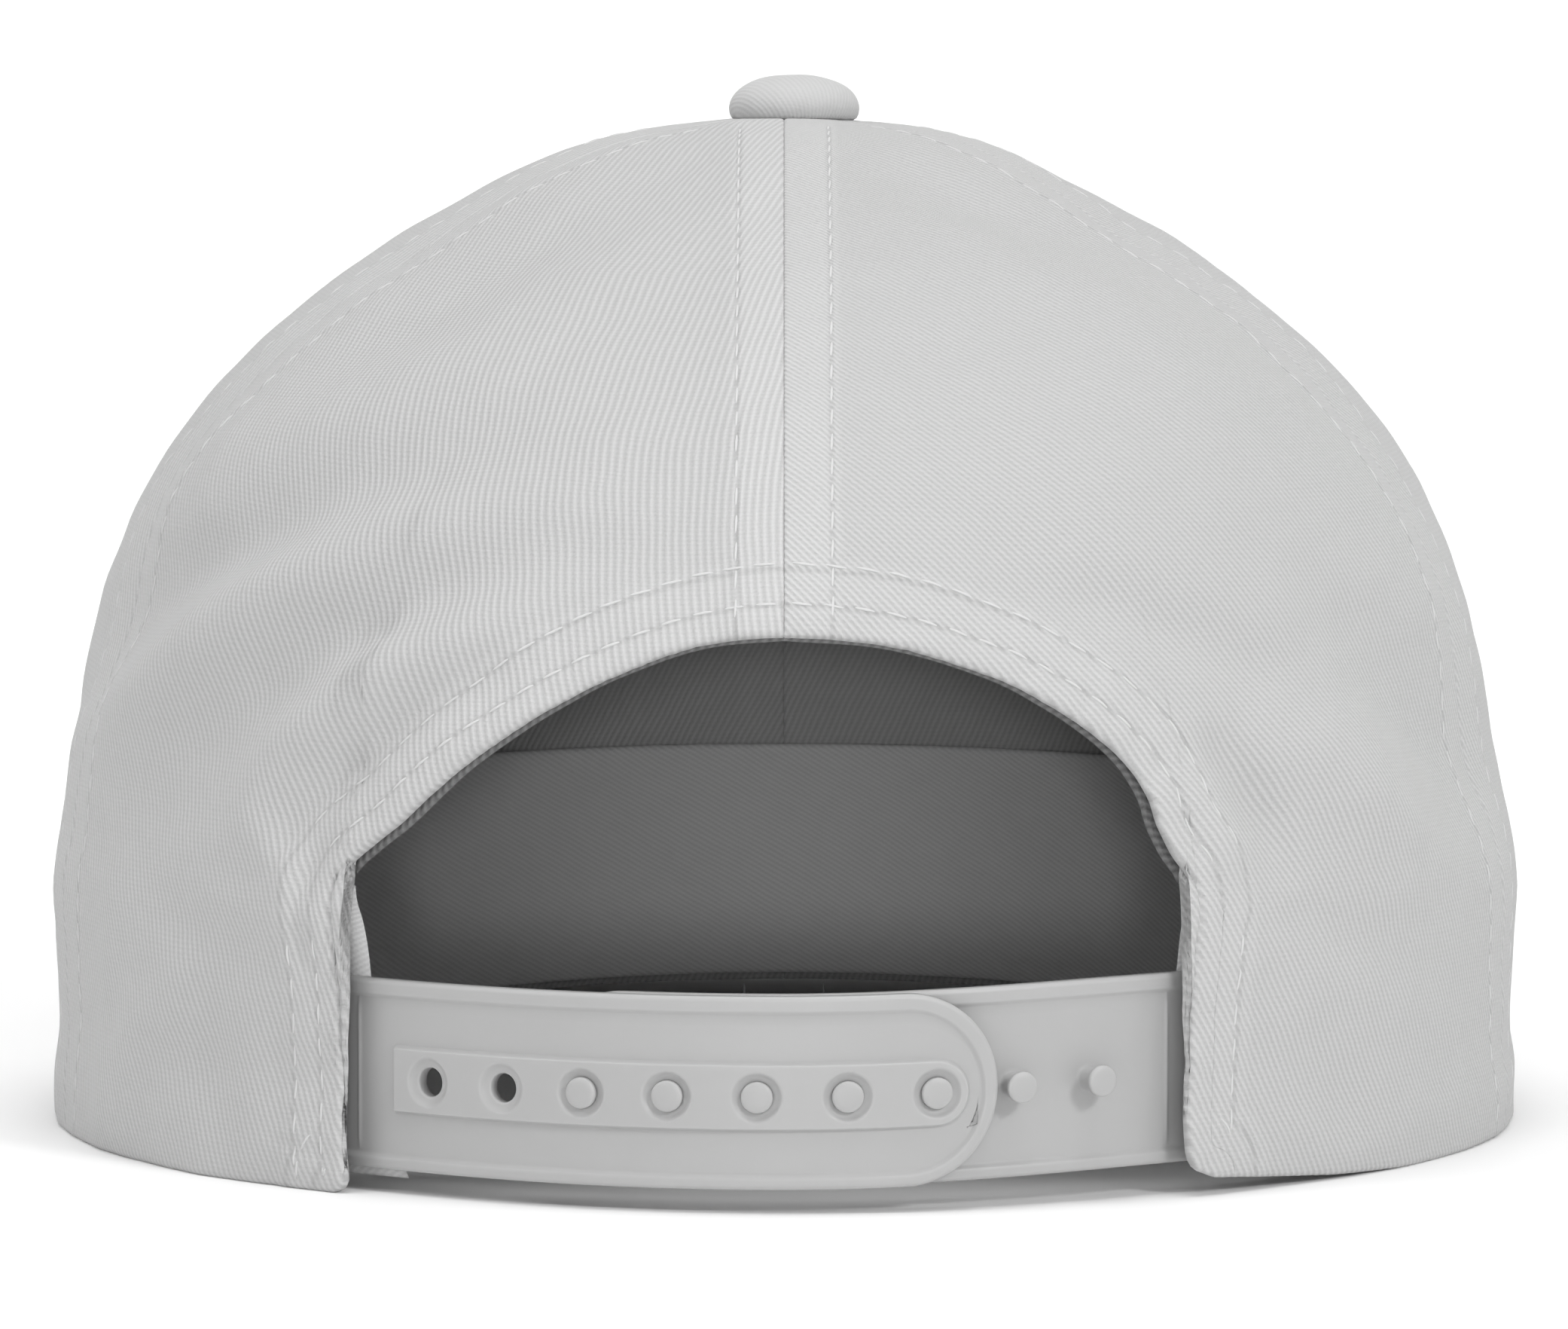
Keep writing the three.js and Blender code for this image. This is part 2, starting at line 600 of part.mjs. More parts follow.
// Azimuth for each arc length along the strap's outer face, counted from the centre outwards.
function strapArcTable(sign) {
  const table = [{ arc: 0, azimuth: 0 }];
  let [x, y] = strapPlan(0, 0);
  for (let azimuth = STRAP_STEP; azimuth <= 50; azimuth += STRAP_STEP) {
    const [nextX, nextY] = strapPlan(sign * azimuth, 0);
    const arc = table.at(-1).arc + Math.hypot(nextX - x, nextY - y);
    table.push({ arc, azimuth: sign * azimuth });
    [x, y] = [nextX, nextY];
  }
  return table;
}
const STRAP_ARCS = { left: strapArcTable(1), right: strapArcTable(-1) };

function strapPoint(arc, height, depth) {
  const arcs = arc > 0 ? STRAP_ARCS.left : STRAP_ARCS.right;
  const azimuth = atKey(arcs, "arc", "azimuth", Math.abs(arc));
  const [x, y] = strapPlan(azimuth, 0);
  const [aheadX, aheadY] = strapPlan(azimuth + 0.5, 0);
  const length = Math.hypot(aheadX - x, aheadY - y);
  const lift = STRAP_RIGHT_LIFT * smooth(-arc, 0, 45);
  return [
    x - ((y - aheadY) / length) * depth,
    y - ((aheadX - x) / length) * depth,
    STRAP_LOW + height + lift,
  ];
}

// Flat solids of the strap: x is arc length, y is height over the strap's lower edge, z is outwards.
function bar(from, to, low, high, back, front) {
  return wasm.Manifold.cube([to - from, high - low, front - back]).translate([from, low, back]);
}

function disc(x, y, radius, back, front, segments) {
  return wasm.Manifold.cylinder(front - back, radius, radius, segments).translate([x, y, back]);
}

// A bar with one round end, of the strap's or the snap band's height.
function roundEndBar(tuck, endCentre, low, high, back, front, segments) {
  const radius = (high - low) / 2;
  const [from, to] = [Math.min(tuck, endCentre), Math.max(tuck, endCentre)];
  const end = disc(endCentre, low + radius, radius, back, front, segments);
  return bar(from, to, low, high, back, front).add(end);
}

// Plate with a bead along its edge.
function strapBlank(tuck, endCentre) {
  const plate = roundEndBar(tuck, endCentre, 0, STRAP_HEIGHT, 0, STRAP_PLATE, 28);
  const raised = roundEndBar(tuck, endCentre, 0, STRAP_HEIGHT, 0, STRAP_PLATE + BEAD_RISE, 28);
  const field = roundEndBar(
    tuck + Math.sign(tuck) * 5,
    endCentre,
    BEAD_HEIGHT,
    STRAP_HEIGHT - TOP_BEAD_HEIGHT,
    STRAP_PLATE,
    STRAP_PLATE + 5,
    28,
  );
  return plate.add(raised.subtract(field));
}

// The flat solid bent onto the strap's plan, its back face at a depth under the outer face.
function bend(flat, backDepth) {
  const bent = flat.refineToLength(9).warp((v) => {
    const moved = strapPoint(v[0], v[1], backDepth - v[2]);
    [v[0], v[1], v[2]] = moved;
  });
  const mesh = bent.getMesh();
  const geometry = new THREE.BufferGeometry();
  const size = mesh.numProp;
  const places = new Float32Array(mesh.numVert * 3);
  for (let i = 0; i < mesh.numVert; i++)
    places.set(mesh.vertProperties.subarray(i * size, i * size + 3), i * 3);
  geometry.setAttribute("position", new THREE.BufferAttribute(places, 3));
  geometry.setIndex(new THREE.BufferAttribute(new Uint32Array(mesh.triVerts), 1));
  return facingOut(geometry);
}

const tabArc = {
  left: atKey(STRAP_ARCS.left, "azimuth", "arc", OPENING_ANGLE.left),
  right: atKey(STRAP_ARCS.left, "azimuth", "arc", OPENING_ANGLE.right),
};
const holeArc = (index) => tabArc.left - FIRST_HOLE_FROM_TAB - SNAP_PITCH * index;
const firstPegArc = holeArc(SNAP_COUNT - SNAPS_CLOSED);

function strapWithHoles() {
  const lastHole = holeArc(SNAP_COUNT - 1);
  const endCentre = lastHole - SNAP_END_MARGIN + STRAP_END_RADIUS;
  const low = SNAP_LINE - SNAP_BAND_HEIGHT / 2;
  const band = roundEndBar(
    holeArc(0) + SNAP_BAND_MARGIN,
    lastHole,
    low,
    low + SNAP_BAND_HEIGHT,
    0,
    STRAP_PLATE + SNAP_BAND_RISE,
    24,
  );
  let flat = strapBlank(tabArc.left + STRAP_TUCK_LENGTH, endCentre).add(band);
  for (let i = 0; i < SNAP_COUNT; i++) {
    const recess = disc(holeArc(i), SNAP_LINE, RECESS_RADIUS, STRAP_PLATE - RECESS_DEPTH_IN_PLATE, 9, 16);
    const hole = disc(holeArc(i), SNAP_LINE, HOLE_RADIUS, -1, 9, 12);
    flat = flat.subtract(recess).subtract(hole);
  }
  return bend(flat, STRAP_PLATE);
}

function strapWithPegs() {
  const endCentre = firstPegArc + SNAP_END_MARGIN - STRAP_END_RADIUS;
  let flat = strapBlank(-tabArc.right - STRAP_TUCK_LENGTH, endCentre);
  const face = STRAP_PLATE;
  const headAt = face + STRAP_LAP_DEPTH - RECESS_DEPTH_IN_PLATE + GAP;
  for (let i = 0; i < SNAP_COUNT; i++) {
    const arc = firstPegArc - SNAP_PITCH * i;
    const neck = disc(arc, SNAP_LINE, PEG_NECK_RADIUS, face - 0.4, headAt + 0.4, 10);
    const head = disc(arc, SNAP_LINE, PEG_HEAD_RADIUS, headAt, headAt + PEG_HEAD_THICKNESS, 14);
    flat = flat.add(neck).add(head);
  }
  return bend(flat, STRAP_PLATE + STRAP_LAP_DEPTH);
}

function topButton() {
  const shank = APEX_HOLE_RADIUS - BUTTON_OFFSET - GAP;
  const profile = [
    [0, BUTTON_BASE - 5],
    [shank, BUTTON_BASE - 5],
    [shank, BUTTON_BASE],
    [BUTTON_RADIUS - 0.5, BUTTON_BASE],
    [BUTTON_RADIUS, BUTTON_BASE + 0.7],
    [BUTTON_RADIUS - 0.1, BUTTON_BASE + 1.7],
    [BUTTON_RADIUS - 0.9, BUTTON_BASE + 2.9],
    [BUTTON_RADIUS - 2.5, BUTTON_BASE + 3.9],
    [BUTTON_RADIUS - 4.7, BUTTON_BASE + 4.4],
    [0, BUTTON_BASE + BUTTON_RISE],
  ];
  const turned = profile.map(([radius, height]) => new THREE.Vector2(radius, height));
  return new THREE.LatheGeometry(turned, 24).rotateX(Math.PI / 2).translate(-BUTTON_OFFSET, 0, 0);
}

// The visor's underside height, highest along its centre line.
function visorLow(x) {
  return VISOR_CAMBER * Math.max(0, 1 - (x / VISOR_HALF_WIDTH) ** 2);
}

// A point of the visor's inner edge, just outside the crown's cloth; the share runs from -1 to 1.
function visorInner(share, overhang = 0) {
  const azimuth = 180 - share * VISOR_CORNER_AZIMUTH;
  const cornerX = HALF_WIDTH * Math.sin(radians(VISOR_CORNER_AZIMUTH));
  const point = basePoint(azimuth, levelAtHeight(2 + visorLow(cornerX * Math.abs(share))));
  const outwards = baseNormal(azimuth, 0);
  return point.addScaledVector(outwards, GAP + VISOR_SEAM_CLEARANCE + overhang);
}

// The visor's outer edge as points from the centre line to the corner, on the +X side.
function visorEdgePoints() {
  const corner = visorInner(1, VISOR_CORNER_OVERHANG);
  const front = -HALF_LENGTH - VISOR_LENGTH;
  const rows = VISOR_EDGE.map((row) => ({
    x: row.x * VISOR_HALF_WIDTH,
    y: mix(corner.y, front, row.reach),
  }));
  return [...rows, { x: corner.x, y: corner.y }];
}

function visorOuter(share, edge) {
  const size = Math.abs(share);
  const next = clamp(VISOR_STATIONS.findIndex((at) => at > size), 1, VISOR_STATIONS.length - 1);
  const before = size === 1 ? VISOR_STATIONS.length - 2 : next - 1;
  const span = VISOR_STATIONS[before + 1] - VISOR_STATIONS[before];
  const row = before + (size - VISOR_STATIONS[before]) / span;
  return [Math.sign(share) * atRow(edge, "x", row), atRow(edge, "y", row)];
}

function visor() {
  const across = 32;
  const rows = 5;
  const edge = visorEdgePoints();
  const grid = (upper) =>
    Array.from({ length: across + 1 }, (_, i) => {
      const share = (2 * i) / across - 1;
      const inner = visorInner(share);
      const [outerX, outerY] = visorOuter(share, edge);
      return Array.from({ length: rows + 1 }, (_, j) => {
        const reach = 1 - (1 - j / rows) ** 1.6;
        const [x, y] = [mix(inner.x, outerX, reach), mix(inner.y, outerY, reach)];
        const half = VISOR_THICKNESS * (j === rows ? VISOR_EDGE_SHARE : 1) * 0.5;
        const middle = visorLow(x) + VISOR_THICKNESS / 2;
        return new THREE.Vector3(x, y, middle + (upper ? half : -half));
      });
    });
  return slab(grid(true), grid(false));
}

const COLOURS = { cloth: 0xd9d9db, band: 0xcfcfd1, strap: 0xc4c4c6 };

function named(name, geometry, colour) {
  const mesh = new THREE.Mesh(geometry, new THREE.MeshStandardMaterial({ color: colour }));
  mesh.name = name;
  return mesh;
}

const group = new THREE.Group();
group.name = "snapback_cap";
for (const [side, sign] of [["left", 1], ["right", -1]]) {
  const [backSeam, frontSeam] = ["backSide", "sideFront"].map((seam) => seamAzimuth(seam, 0));
  const sideEdge = rimEdge(sign * backSeam, sign * frontSeam, 10);
  const frontEdge = rimEdge(sign * frontSeam, sign * 180, 10);
  const sidePanel = panel(sideEdge, sign, "backSide", "sideFront");
  const frontPanel = panel(frontEdge, sign, "sideFront", "centreFront");
  group.add(named("panel_back_" + side, backPanel(sign), COLOURS.cloth));
  group.add(named("panel_side_" + side, sidePanel, COLOURS.cloth));
  group.add(named("panel_front_" + side, frontPanel, COLOURS.cloth));
}
group.add(named("top_button", topButton(), COLOURS.cloth));
group.add(named("visor", visor(), COLOURS.cloth));
group.add(named("sweatband", sweatband(), COLOURS.band));
group.add(named("arch_tape", archTape(), COLOURS.band));
group.add(named("strap_with_holes", strapWithHoles(), COLOURS.strap));
group.add(named("strap_with_pegs", strapWithPegs(), COLOURS.strap));

export default group;
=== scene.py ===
"""Snapback cap seen from behind: cloth panels, stitching, snap strap, materials, light and camera.

Lengths are millimetres in the surface maths and metres in the meshes.
The crown's surface is a function of an azimuth, in degrees from the back towards the cap's left,
and a level, which counts the rows of the section table from the rim to the apex.
"""

import logging
import math
from dataclasses import dataclass, field
from enum import Enum

import bmesh
import bpy
import numpy as np
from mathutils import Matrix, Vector
from numpy.typing import NDArray

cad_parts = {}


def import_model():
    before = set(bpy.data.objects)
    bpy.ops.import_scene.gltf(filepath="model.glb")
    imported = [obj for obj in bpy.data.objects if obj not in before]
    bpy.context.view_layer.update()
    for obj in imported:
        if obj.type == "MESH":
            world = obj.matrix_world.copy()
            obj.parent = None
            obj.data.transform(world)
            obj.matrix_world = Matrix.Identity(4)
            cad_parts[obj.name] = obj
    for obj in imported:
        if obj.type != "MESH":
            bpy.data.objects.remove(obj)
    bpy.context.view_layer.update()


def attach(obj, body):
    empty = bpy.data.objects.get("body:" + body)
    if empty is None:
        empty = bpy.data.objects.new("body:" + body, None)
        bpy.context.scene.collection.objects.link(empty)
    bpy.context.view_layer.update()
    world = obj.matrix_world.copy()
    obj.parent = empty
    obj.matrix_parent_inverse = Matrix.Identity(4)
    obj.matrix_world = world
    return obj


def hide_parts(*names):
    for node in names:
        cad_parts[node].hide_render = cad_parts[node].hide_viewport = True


Array = NDArray[np.float64]

LOG = logging.getLogger("cap")
MM = 0.001


class Side(Enum):
    """The two halves of the cap, with the sign of their azimuths."""

    LEFT = 1
    RIGHT = -1


class Seam(Enum):
    """The seams that part the crown's six panels."""

    CENTRE_BACK = "centre_back"
    BACK_SIDE = "back_side"
    SIDE_FRONT = "side_front"
    CENTRE_FRONT = "centre_front"


def smooth(value: Array, low: float, high: float) -> Array:
    """Smoothstep: 0 under low, 1 over high, 3 t^2 - 2 t^3 between them."""
    share = np.clip((value - low) / (high - low), 0, 1)
    return share * share * (3 - 2 * share)


def mix(a: Array, b: Array, share: Array) -> Array:
    """Straight blend of a and b."""
    return a + (b - a) * share


def bell(value: Array, width: float) -> Array:
    """Bell curve: exp of minus the square of the value over the width."""
    return np.exp(-((value / width) ** 2))


def unit_rows(vectors: Array) -> Array:
    """Each vector divided by its length."""
    return vectors / np.linalg.norm(vectors, axis=-1, keepdims=True)


def joined(*coordinates: Array) -> Array:
    """Points from their coordinates."""
    return np.stack(coordinates, axis=-1)


def lengths(line: Array) -> Array:
    """Length along a line up to each of its points."""
    return np.concatenate([[0], np.cumsum(np.linalg.norm(np.diff(line, axis=0), axis=-1))])


def table(*rows: list[float]) -> Array:
    """A dataclass field that holds a table, given row by row."""
    return field(default_factory=lambda: np.array(rows))


def into_scene(name: str, data: bpy.types.ID) -> bpy.types.Object:
    """Puts an object with this mesh, light or camera into the scene."""
    made = bpy.data.objects.new(name, data)
    bpy.context.scene.collection.objects.link(made)
    return made


def curve_at(values: Array, row: Array) -> Array:
    """Value of a column at fractional rows: a Catmull-Rom cubic through the rows.

    Args:
        values: the column, one value a row.
        row: fractional row numbers.

    Returns:
        The cubic's value, with the ends carried on in a straight line.
    """
    padded = np.concatenate([[2 * values[0] - values[1]], values, [2 * values[-1] - values[-2]]])
    at = np.clip(row, 0, len(values) - 1 - 1e-9)
    i = np.floor(at).astype(int)
    t = at - i
    a, b, c, d = padded[i], padded[i + 1], padded[i + 2], padded[np.minimum(i + 3, len(padded) - 1)]
    return 0.5 * (
        2 * b + (c - a) * t + (2 * a - 5 * b + 4 * c - d) * t**2 + (3 * b - a - 3 * c + d) * t**3
    )


def ripple(points: Array, wavelength: float, seed: int) -> Array:
    """Soft noise: the mean of eight sine waves that run in seeded directions.

    Args:
        points: positions, in millimetres, with the coordinates last.
        wavelength: typical distance from crest to crest.
        seed: picks the directions and phases.

    Returns:
        Values from about -1 to 1.
    """
    rng = np.random.default_rng(seed)
    directions = unit_rows(rng.normal(size=(8, points.shape[-1])))
    stretch = rng.uniform(0.7, 1.4, size=8)
    phases = rng.uniform(0, 2 * np.pi, size=8)
    waves = np.sin(points @ (directions.T * stretch * 2 * np.pi / wavelength) + phases)
    return waves.sum(axis=-1) / 4


@dataclass(frozen=True)
class CrownForm:
    """The crown's outer face, from the same tables as the solids; folds stand a little higher."""

    half_width: float = 86.5
    half_length: float = 100.0
    height: float = 117.8
    cloth: float = 1.6
    apex_hole: float = 4.6
    arch_height: float = 61.4
    opening_left: float = 34.2
    opening_right: float = 30.8
    tab_lift: float = 2.0
    visor_camber: float = 5.0
    visor_half_width: float = 91.0
    fold_gain: float = 1.2

    # Columns: rise, side, back and front shares.
    sections: Array = table(
        [0.0, 1.0, 1.0, 1.0], [0.045, 1.0, 1.002, 1.002], [0.11, 0.992, 0.998, 0.998],
        [0.24, 0.998, 0.99, 0.992], [0.3, 0.986, 0.976, 0.986], [0.38, 0.968, 0.954, 0.976],
        [0.47, 0.948, 0.924, 0.96], [0.56, 0.911, 0.882, 0.938], [0.65, 0.851, 0.822, 0.906],
        [0.735, 0.766, 0.738, 0.858], [0.81, 0.655, 0.634, 0.784], [0.875, 0.532, 0.518, 0.68],
        [0.925, 0.412, 0.404, 0.55], [0.962, 0.3, 0.296, 0.415], [0.985, 0.19, 0.19, 0.27],
        [0.994, 0.09, 0.09, 0.12], [0.996, 0.0, 0.0, 0.0],
    )
    # Columns: rise, back to side azimuth, side to front azimuth.
    seam_lines: Array = table(
        [0.0, 75, 125], [0.35, 74, 125], [0.7, 71.5, 123], [0.85, 69, 122], [0.92, 65, 121],
        [0.97, 60, 120], [1.0, 58, 120],
    )
    # Columns: left angle and height shares, right angle and height shares, from the arch's top.
    opening: Array = table(
        [0, 1, 0, 1], [0.196, 0.987, 0.27, 0.987], [0.393, 0.934, 0.536, 0.933],
        [0.532, 0.878, 0.691, 0.877], [0.64, 0.823, 0.806, 0.821], [0.737, 0.768, 0.888, 0.767],
        [0.816, 0.714, 0.934, 0.713], [0.888, 0.66, 0.954, 0.66], [0.964, 0.614, 0.99, 0.606],
        [1.021, 0.573, 1.03, 0.562], [1.039, 0.519, 1.039, 0.506], [1.018, 0.414, 1.016, 0.401],
        [1.006, 0.304, 1.003, 0.296], [1, 0.189, 0.997, 0.189], [0.994, 0.074, 0.993, 0.099],
        [0.988, 0.02, 1.01, 0.053], [1.015, 0, 1.066, 0.033],
    )
    # Columns: azimuth, share of the right tab's lift.
    rim_right: Array = table([0, 1.0], [32.4, 1.0], [38, 0.65], [45, 0.25], [54, 0.0], [180, 0.0])
    # Columns: start, middle and end as x and z, width, rise; curves in the rear view, as shares.
    folds: Array = table(
        [0.76, 0.63, 0.54, 0.79, 0.16, 0.88, 0.055, -0.014],
        [0.88, 0.54, 0.64, 0.7, 0.2, 0.79, 0.055, 0.014],
        [0.96, 0.36, 0.75, 0.575, 0.24, 0.72, 0.052, -0.024],
        [0.96, 0.28, 0.74, 0.515, 0.18, 0.67, 0.052, 0.024],
        [0.88, 0.24, 0.6, 0.5, 0.06, 0.6, 0.052, -0.02],
        [0.72, 0.28, 0.55, 0.465, 0.16, 0.585, 0.042, 0.024],
        [0.66, 0.29, 0.5, 0.425, 0.24, 0.52, 0.03, -0.015],
        [0.72, 0.35, 0.64, 0.29, 0.66, 0.2, 0.03, 0.012],
        [0.88, 0.28, 0.76, 0.235, 0.64, 0.2, 0.04, -0.011],
        [0.74, 0.22, 0.735, 0.11, 0.72, 0.0, 0.03, -0.01],
        [0.92, 0.0, 0.84, 0.12, 0.77, 0.22, 0.035, 0.009],
        [-0.64, 0.59, -0.83, 0.44, -0.94, 0.29, 0.065, -0.028],
        [-0.58, 0.45, -0.73, 0.37, -0.86, 0.24, 0.06, 0.022],
        [-0.52, 0.44, -0.6, 0.36, -0.65, 0.27, 0.027, -0.019],
        [-0.47, 0.41, -0.535, 0.345, -0.57, 0.27, 0.023, 0.01],
        [-0.22, 0.57, -0.48, 0.525, -0.76, 0.41, 0.04, -0.014],
        [-0.56, 0.26, -0.73, 0.235, -0.9, 0.18, 0.05, -0.01],
        [-0.66, 0.16, -0.71, 0.09, -0.74, 0.02, 0.035, -0.006],
        [-0.02, 0.965, -0.3, 0.91, -0.68, 0.77, 0.04, -0.016],
        [-0.04, 0.99, -0.24, 0.95, -0.46, 0.88, 0.035, 0.01],
        [0.04, 0.96, 0.3, 0.89, 0.58, 0.825, 0.04, -0.014],
    )
    seam_relief: tuple[tuple[Seam, float, float], ...] = (
        (Seam.CENTRE_BACK, 0.081, 0.0058), (Seam.BACK_SIDE, 0.058, -0.0081),
        (Seam.SIDE_FRONT, 0.058, -0.0081), (Seam.CENTRE_FRONT, 0.058, -0.0058),
    )

    @property
    def apex_level(self) -> float:
        """Level of the apex."""
        return float(len(self.sections) - 1)

    @property
    def top_level(self) -> float:
        """Level of the apex hole's edge."""
        return self.apex_level - self.apex_hole / (self.half_width * self.sections[-2, 1])

    def rise(self, level: Array) -> Array:
        """Height over the rim at a level, in millimetres."""
        return self.height * curve_at(self.sections[:, 0], level)

    def level_at(self, height: Array) -> Array:
        """Level at a height, read back from a fine table of the rise."""
        levels = np.linspace(0, self.apex_level, 4001)
        return np.interp(height, self.rise(levels), levels)

    def base(self, azimuth: Array, level: Array) -> Array:
        """The crown without folds: x is the half width and y the half length, times a share that
        turns from the side's at right angles to the back's or the front's along the length."""
        angle = np.radians(azimuth)
        cosine = np.cos(angle)
        end = np.where(
            cosine > 0, curve_at(self.sections[:, 2], level), curve_at(self.sections[:, 3], level),
        )
        share = mix(curve_at(self.sections[:, 1], level), end, cosine**2)
        across, ahead = self.half_width * share * np.sin(angle), self.half_length * share * cosine
        return joined(across, ahead, self.rise(level))

    def normal(self, azimuth: Array, level: Array) -> Array:
        """Outward unit normal: the cross product of small steps up and around, kept level at the
        rim so that the rim's edge is flat."""
        low = np.maximum(0, level - 0.05)
        high = np.maximum(np.minimum(self.apex_level - 0.2, level + 0.05), low + 0.05)
        around = self.base(azimuth + 0.5, level) - self.base(azimuth - 0.5, level)
        upward = self.base(azimuth, high) - self.base(azimuth, low)
        normal = unit_rows(np.cross(upward, around))
        normal[..., 2] *= smooth(level, 0, 0.6)
        return unit_rows(normal)

    def seam_azimuth(self, seam: Seam, level: Array) -> Array:
        """Azimuth of a seam on the left half at a level."""
        if seam is Seam.CENTRE_BACK:
            return np.zeros_like(level)
        if seam is Seam.CENTRE_FRONT:
            return np.full_like(level, 180.0)
        column = 1 if seam is Seam.BACK_SIDE else 2
        rise = curve_at(self.sections[:, 0], level)
        return np.interp(rise, self.seam_lines[:, 0], self.seam_lines[:, column])

    def relief(self, azimuth: Array, level: Array, point: Array) -> Array:
        """Rise of the main folds and seams: for each curve, its rise times exp of minus the square
        of the distance over its width, fading to nothing at the curve's ends."""
        rise = np.zeros(point.shape[:-1])
        view = point[..., [0, 2]]
        for fold in self.folds:
            distance, station = self.fold_distance(view, fold)
            share = bell(distance / fold[6], self.half_width)
            taper = (4 * station * (1 - station)) ** 1.5
            rise += self.fold_gain * self.half_width * fold[7] * share * taper
        rise *= smooth(point[..., 1], 0, 0.18 * self.half_length)
        away = np.abs((azimuth + 540) % 360 - 180)
        radius = np.hypot(point[..., 0], point[..., 1])
        fade = smooth(point[..., 2], 0.25 * self.height, 0.42 * self.height)
        for seam, width, height in self.seam_relief:
            distance = np.radians(np.abs(away - self.seam_azimuth(seam, level))) * radius
            share = bell(distance / width, self.half_width)
            rise += self.half_width * height * share * fade
        return rise * smooth(radius, 1.3 * self.apex_hole, 3.5 * self.apex_hole)

    def fold_distance(self, view: Array, fold: Array) -> tuple[Array, Array]:
        """Distance to a fold's curve in the rear view, and the share of the curve passed there.

        The curve is the parabola through the fold's three points, taken as twelve chords.
        """
        start, middle, end = fold[:6].reshape(3, 2) * [self.half_width, self.height]
        bend = 2 * middle - (start + end) / 2
        t = np.linspace(0, 1, 13)[:, None]
        line = (1 - t) ** 2 * start + 2 * t * (1 - t) * bend + t**2 * end
        distance, station = np.full(view.shape[:-1], np.inf), np.zeros(view.shape[:-1])
        for k in range(12):
            run = line[k + 1] - line[k]
            along = np.clip(((view - line[k]) @ run) / (run @ run), 0, 1)
            away = np.linalg.norm(view - line[k] - along[..., None] * run, axis=-1)
            station = np.where(away < distance, (k + along) / 12, station)
            distance = np.minimum(away, distance)
        return distance, station

    def rim_height(self, azimuth: Array) -> Array:
        """Height of the rim: the right tab's lift, and the visor's camber at the front."""
        signed = (azimuth + 180) % 360 - 180
        right = self.tab_lift * np.interp(-signed, self.rim_right[:, 0], self.rim_right[:, 1])
        x = self.half_width * np.sin(np.radians(azimuth))
        front = self.visor_camber * (1 - (x / self.visor_half_width) ** 2)
        front *= smooth(-np.cos(np.radians(azimuth)), 0.05, 0.4)
        return np.where((signed < 0) & (signed > -90), right, front)

    def opening_edge(self, side: Side, low: float, high: float, count: int) -> tuple[Array, Array]:
        """The opening's edge between two rows of its table.

        Args:
            side: the half of the cap.
            low: first row, 0 at the arch's top.
            high: last row.
            count: number of points.

        Returns:
            Azimuths and levels.
        """
        row = np.linspace(low, high, count)
        first = 0 if side is Side.LEFT else 2
        angle = self.opening_left if side is Side.LEFT else self.opening_right
        azimuth = side.value * angle * curve_at(self.opening[:, first], row)
        height = self.arch_height * curve_at(self.opening[:, first + 1], row)
        return azimuth, self.level_at(np.maximum(0, height))

    def inset(self, azimuth: Array, level: Array, distance: float) -> tuple[Array, Array]:
        """An edge moved into the cloth at right angles to itself, in the unrolled surface."""
        here = self.base(azimuth, level)
        radius = np.hypot(here[..., 0], here[..., 1])
        dx = np.gradient(np.radians(azimuth)) * radius
        dz = np.gradient(here[..., 2])
        length = np.hypot(dx, dz)
        moved = azimuth + np.degrees(-dz / length * distance / radius)
        return moved, self.level_at(here[..., 2] + dx / length * distance)


def spaced(azimuth: Array, level: Array, form: CrownForm, stations: Array) -> tuple[Array, Array]:
    """A path on the crown read at shares of its length."""
    reach = lengths(form.base(azimuth, level))
    target = stations * reach[-1]
    return np.interp(target, reach, azimuth), np.interp(target, reach, level)


def nearest(points: Array, line: Array) -> tuple[Array, Array]:
    """Distance of each point to a line's samples, and how far along the line the nearest lies.

    Args:
        points: positions with the coordinates last.
        line: the line's samples, in order.

    Returns:
        The distance and the length along the line, both in the shape of the points.
    """
    flat = points.reshape(-1, 3)
    reach = lengths(line)
    distance = np.empty(len(flat))
    along = np.empty(len(flat))
    for start in range(0, len(flat), 8192):
        block = flat[start : start + 8192]
        squares = ((block**2).sum(-1)[:, None] + (line**2).sum(-1)[None] - 2 * block @ line.T)
        best = squares.argmin(1)
        distance[start : start + 8192] = np.sqrt(np.maximum(squares[np.arange(len(block)), best], 0))
        along[start : start + 8192] = reach[best]
    shape = points.shape[:-1]
    return distance.reshape(shape), along.reshape(shape)


def finer_ends(count: int, length: float, closest: tuple[float, ...]) -> Array:
    """Shares from 0 to 1, evenly spaced but for extra ones near both ends."""
    edge = np.array(closest) / length
    inner = np.linspace(edge[-1], 1 - edge[-1], count)
    return np.concatenate([edge[:-1], inner, (1 - edge[:-1])[::-1]])


def quads(rows: int, columns: int, offset: int = 0, closes: bool = False) -> Array:
    """Corner indices of a grid's cells, with the grid stored row by row.

    Args:
        rows: the grid's rows.
        columns: its columns.
        offset: number of its first point.
        closes: whether its last column meets its first.

    Returns:
        Rows of four indices.
    """
    index = np.arange(rows * columns).reshape(rows, columns) + offset
    if closes:
        index = np.concatenate([index, index[:, :1]], axis=1)
    return joined(index[:-1, :-1], index[1:, :-1], index[1:, 1:], index[:-1, 1:]).reshape(-1, 4)


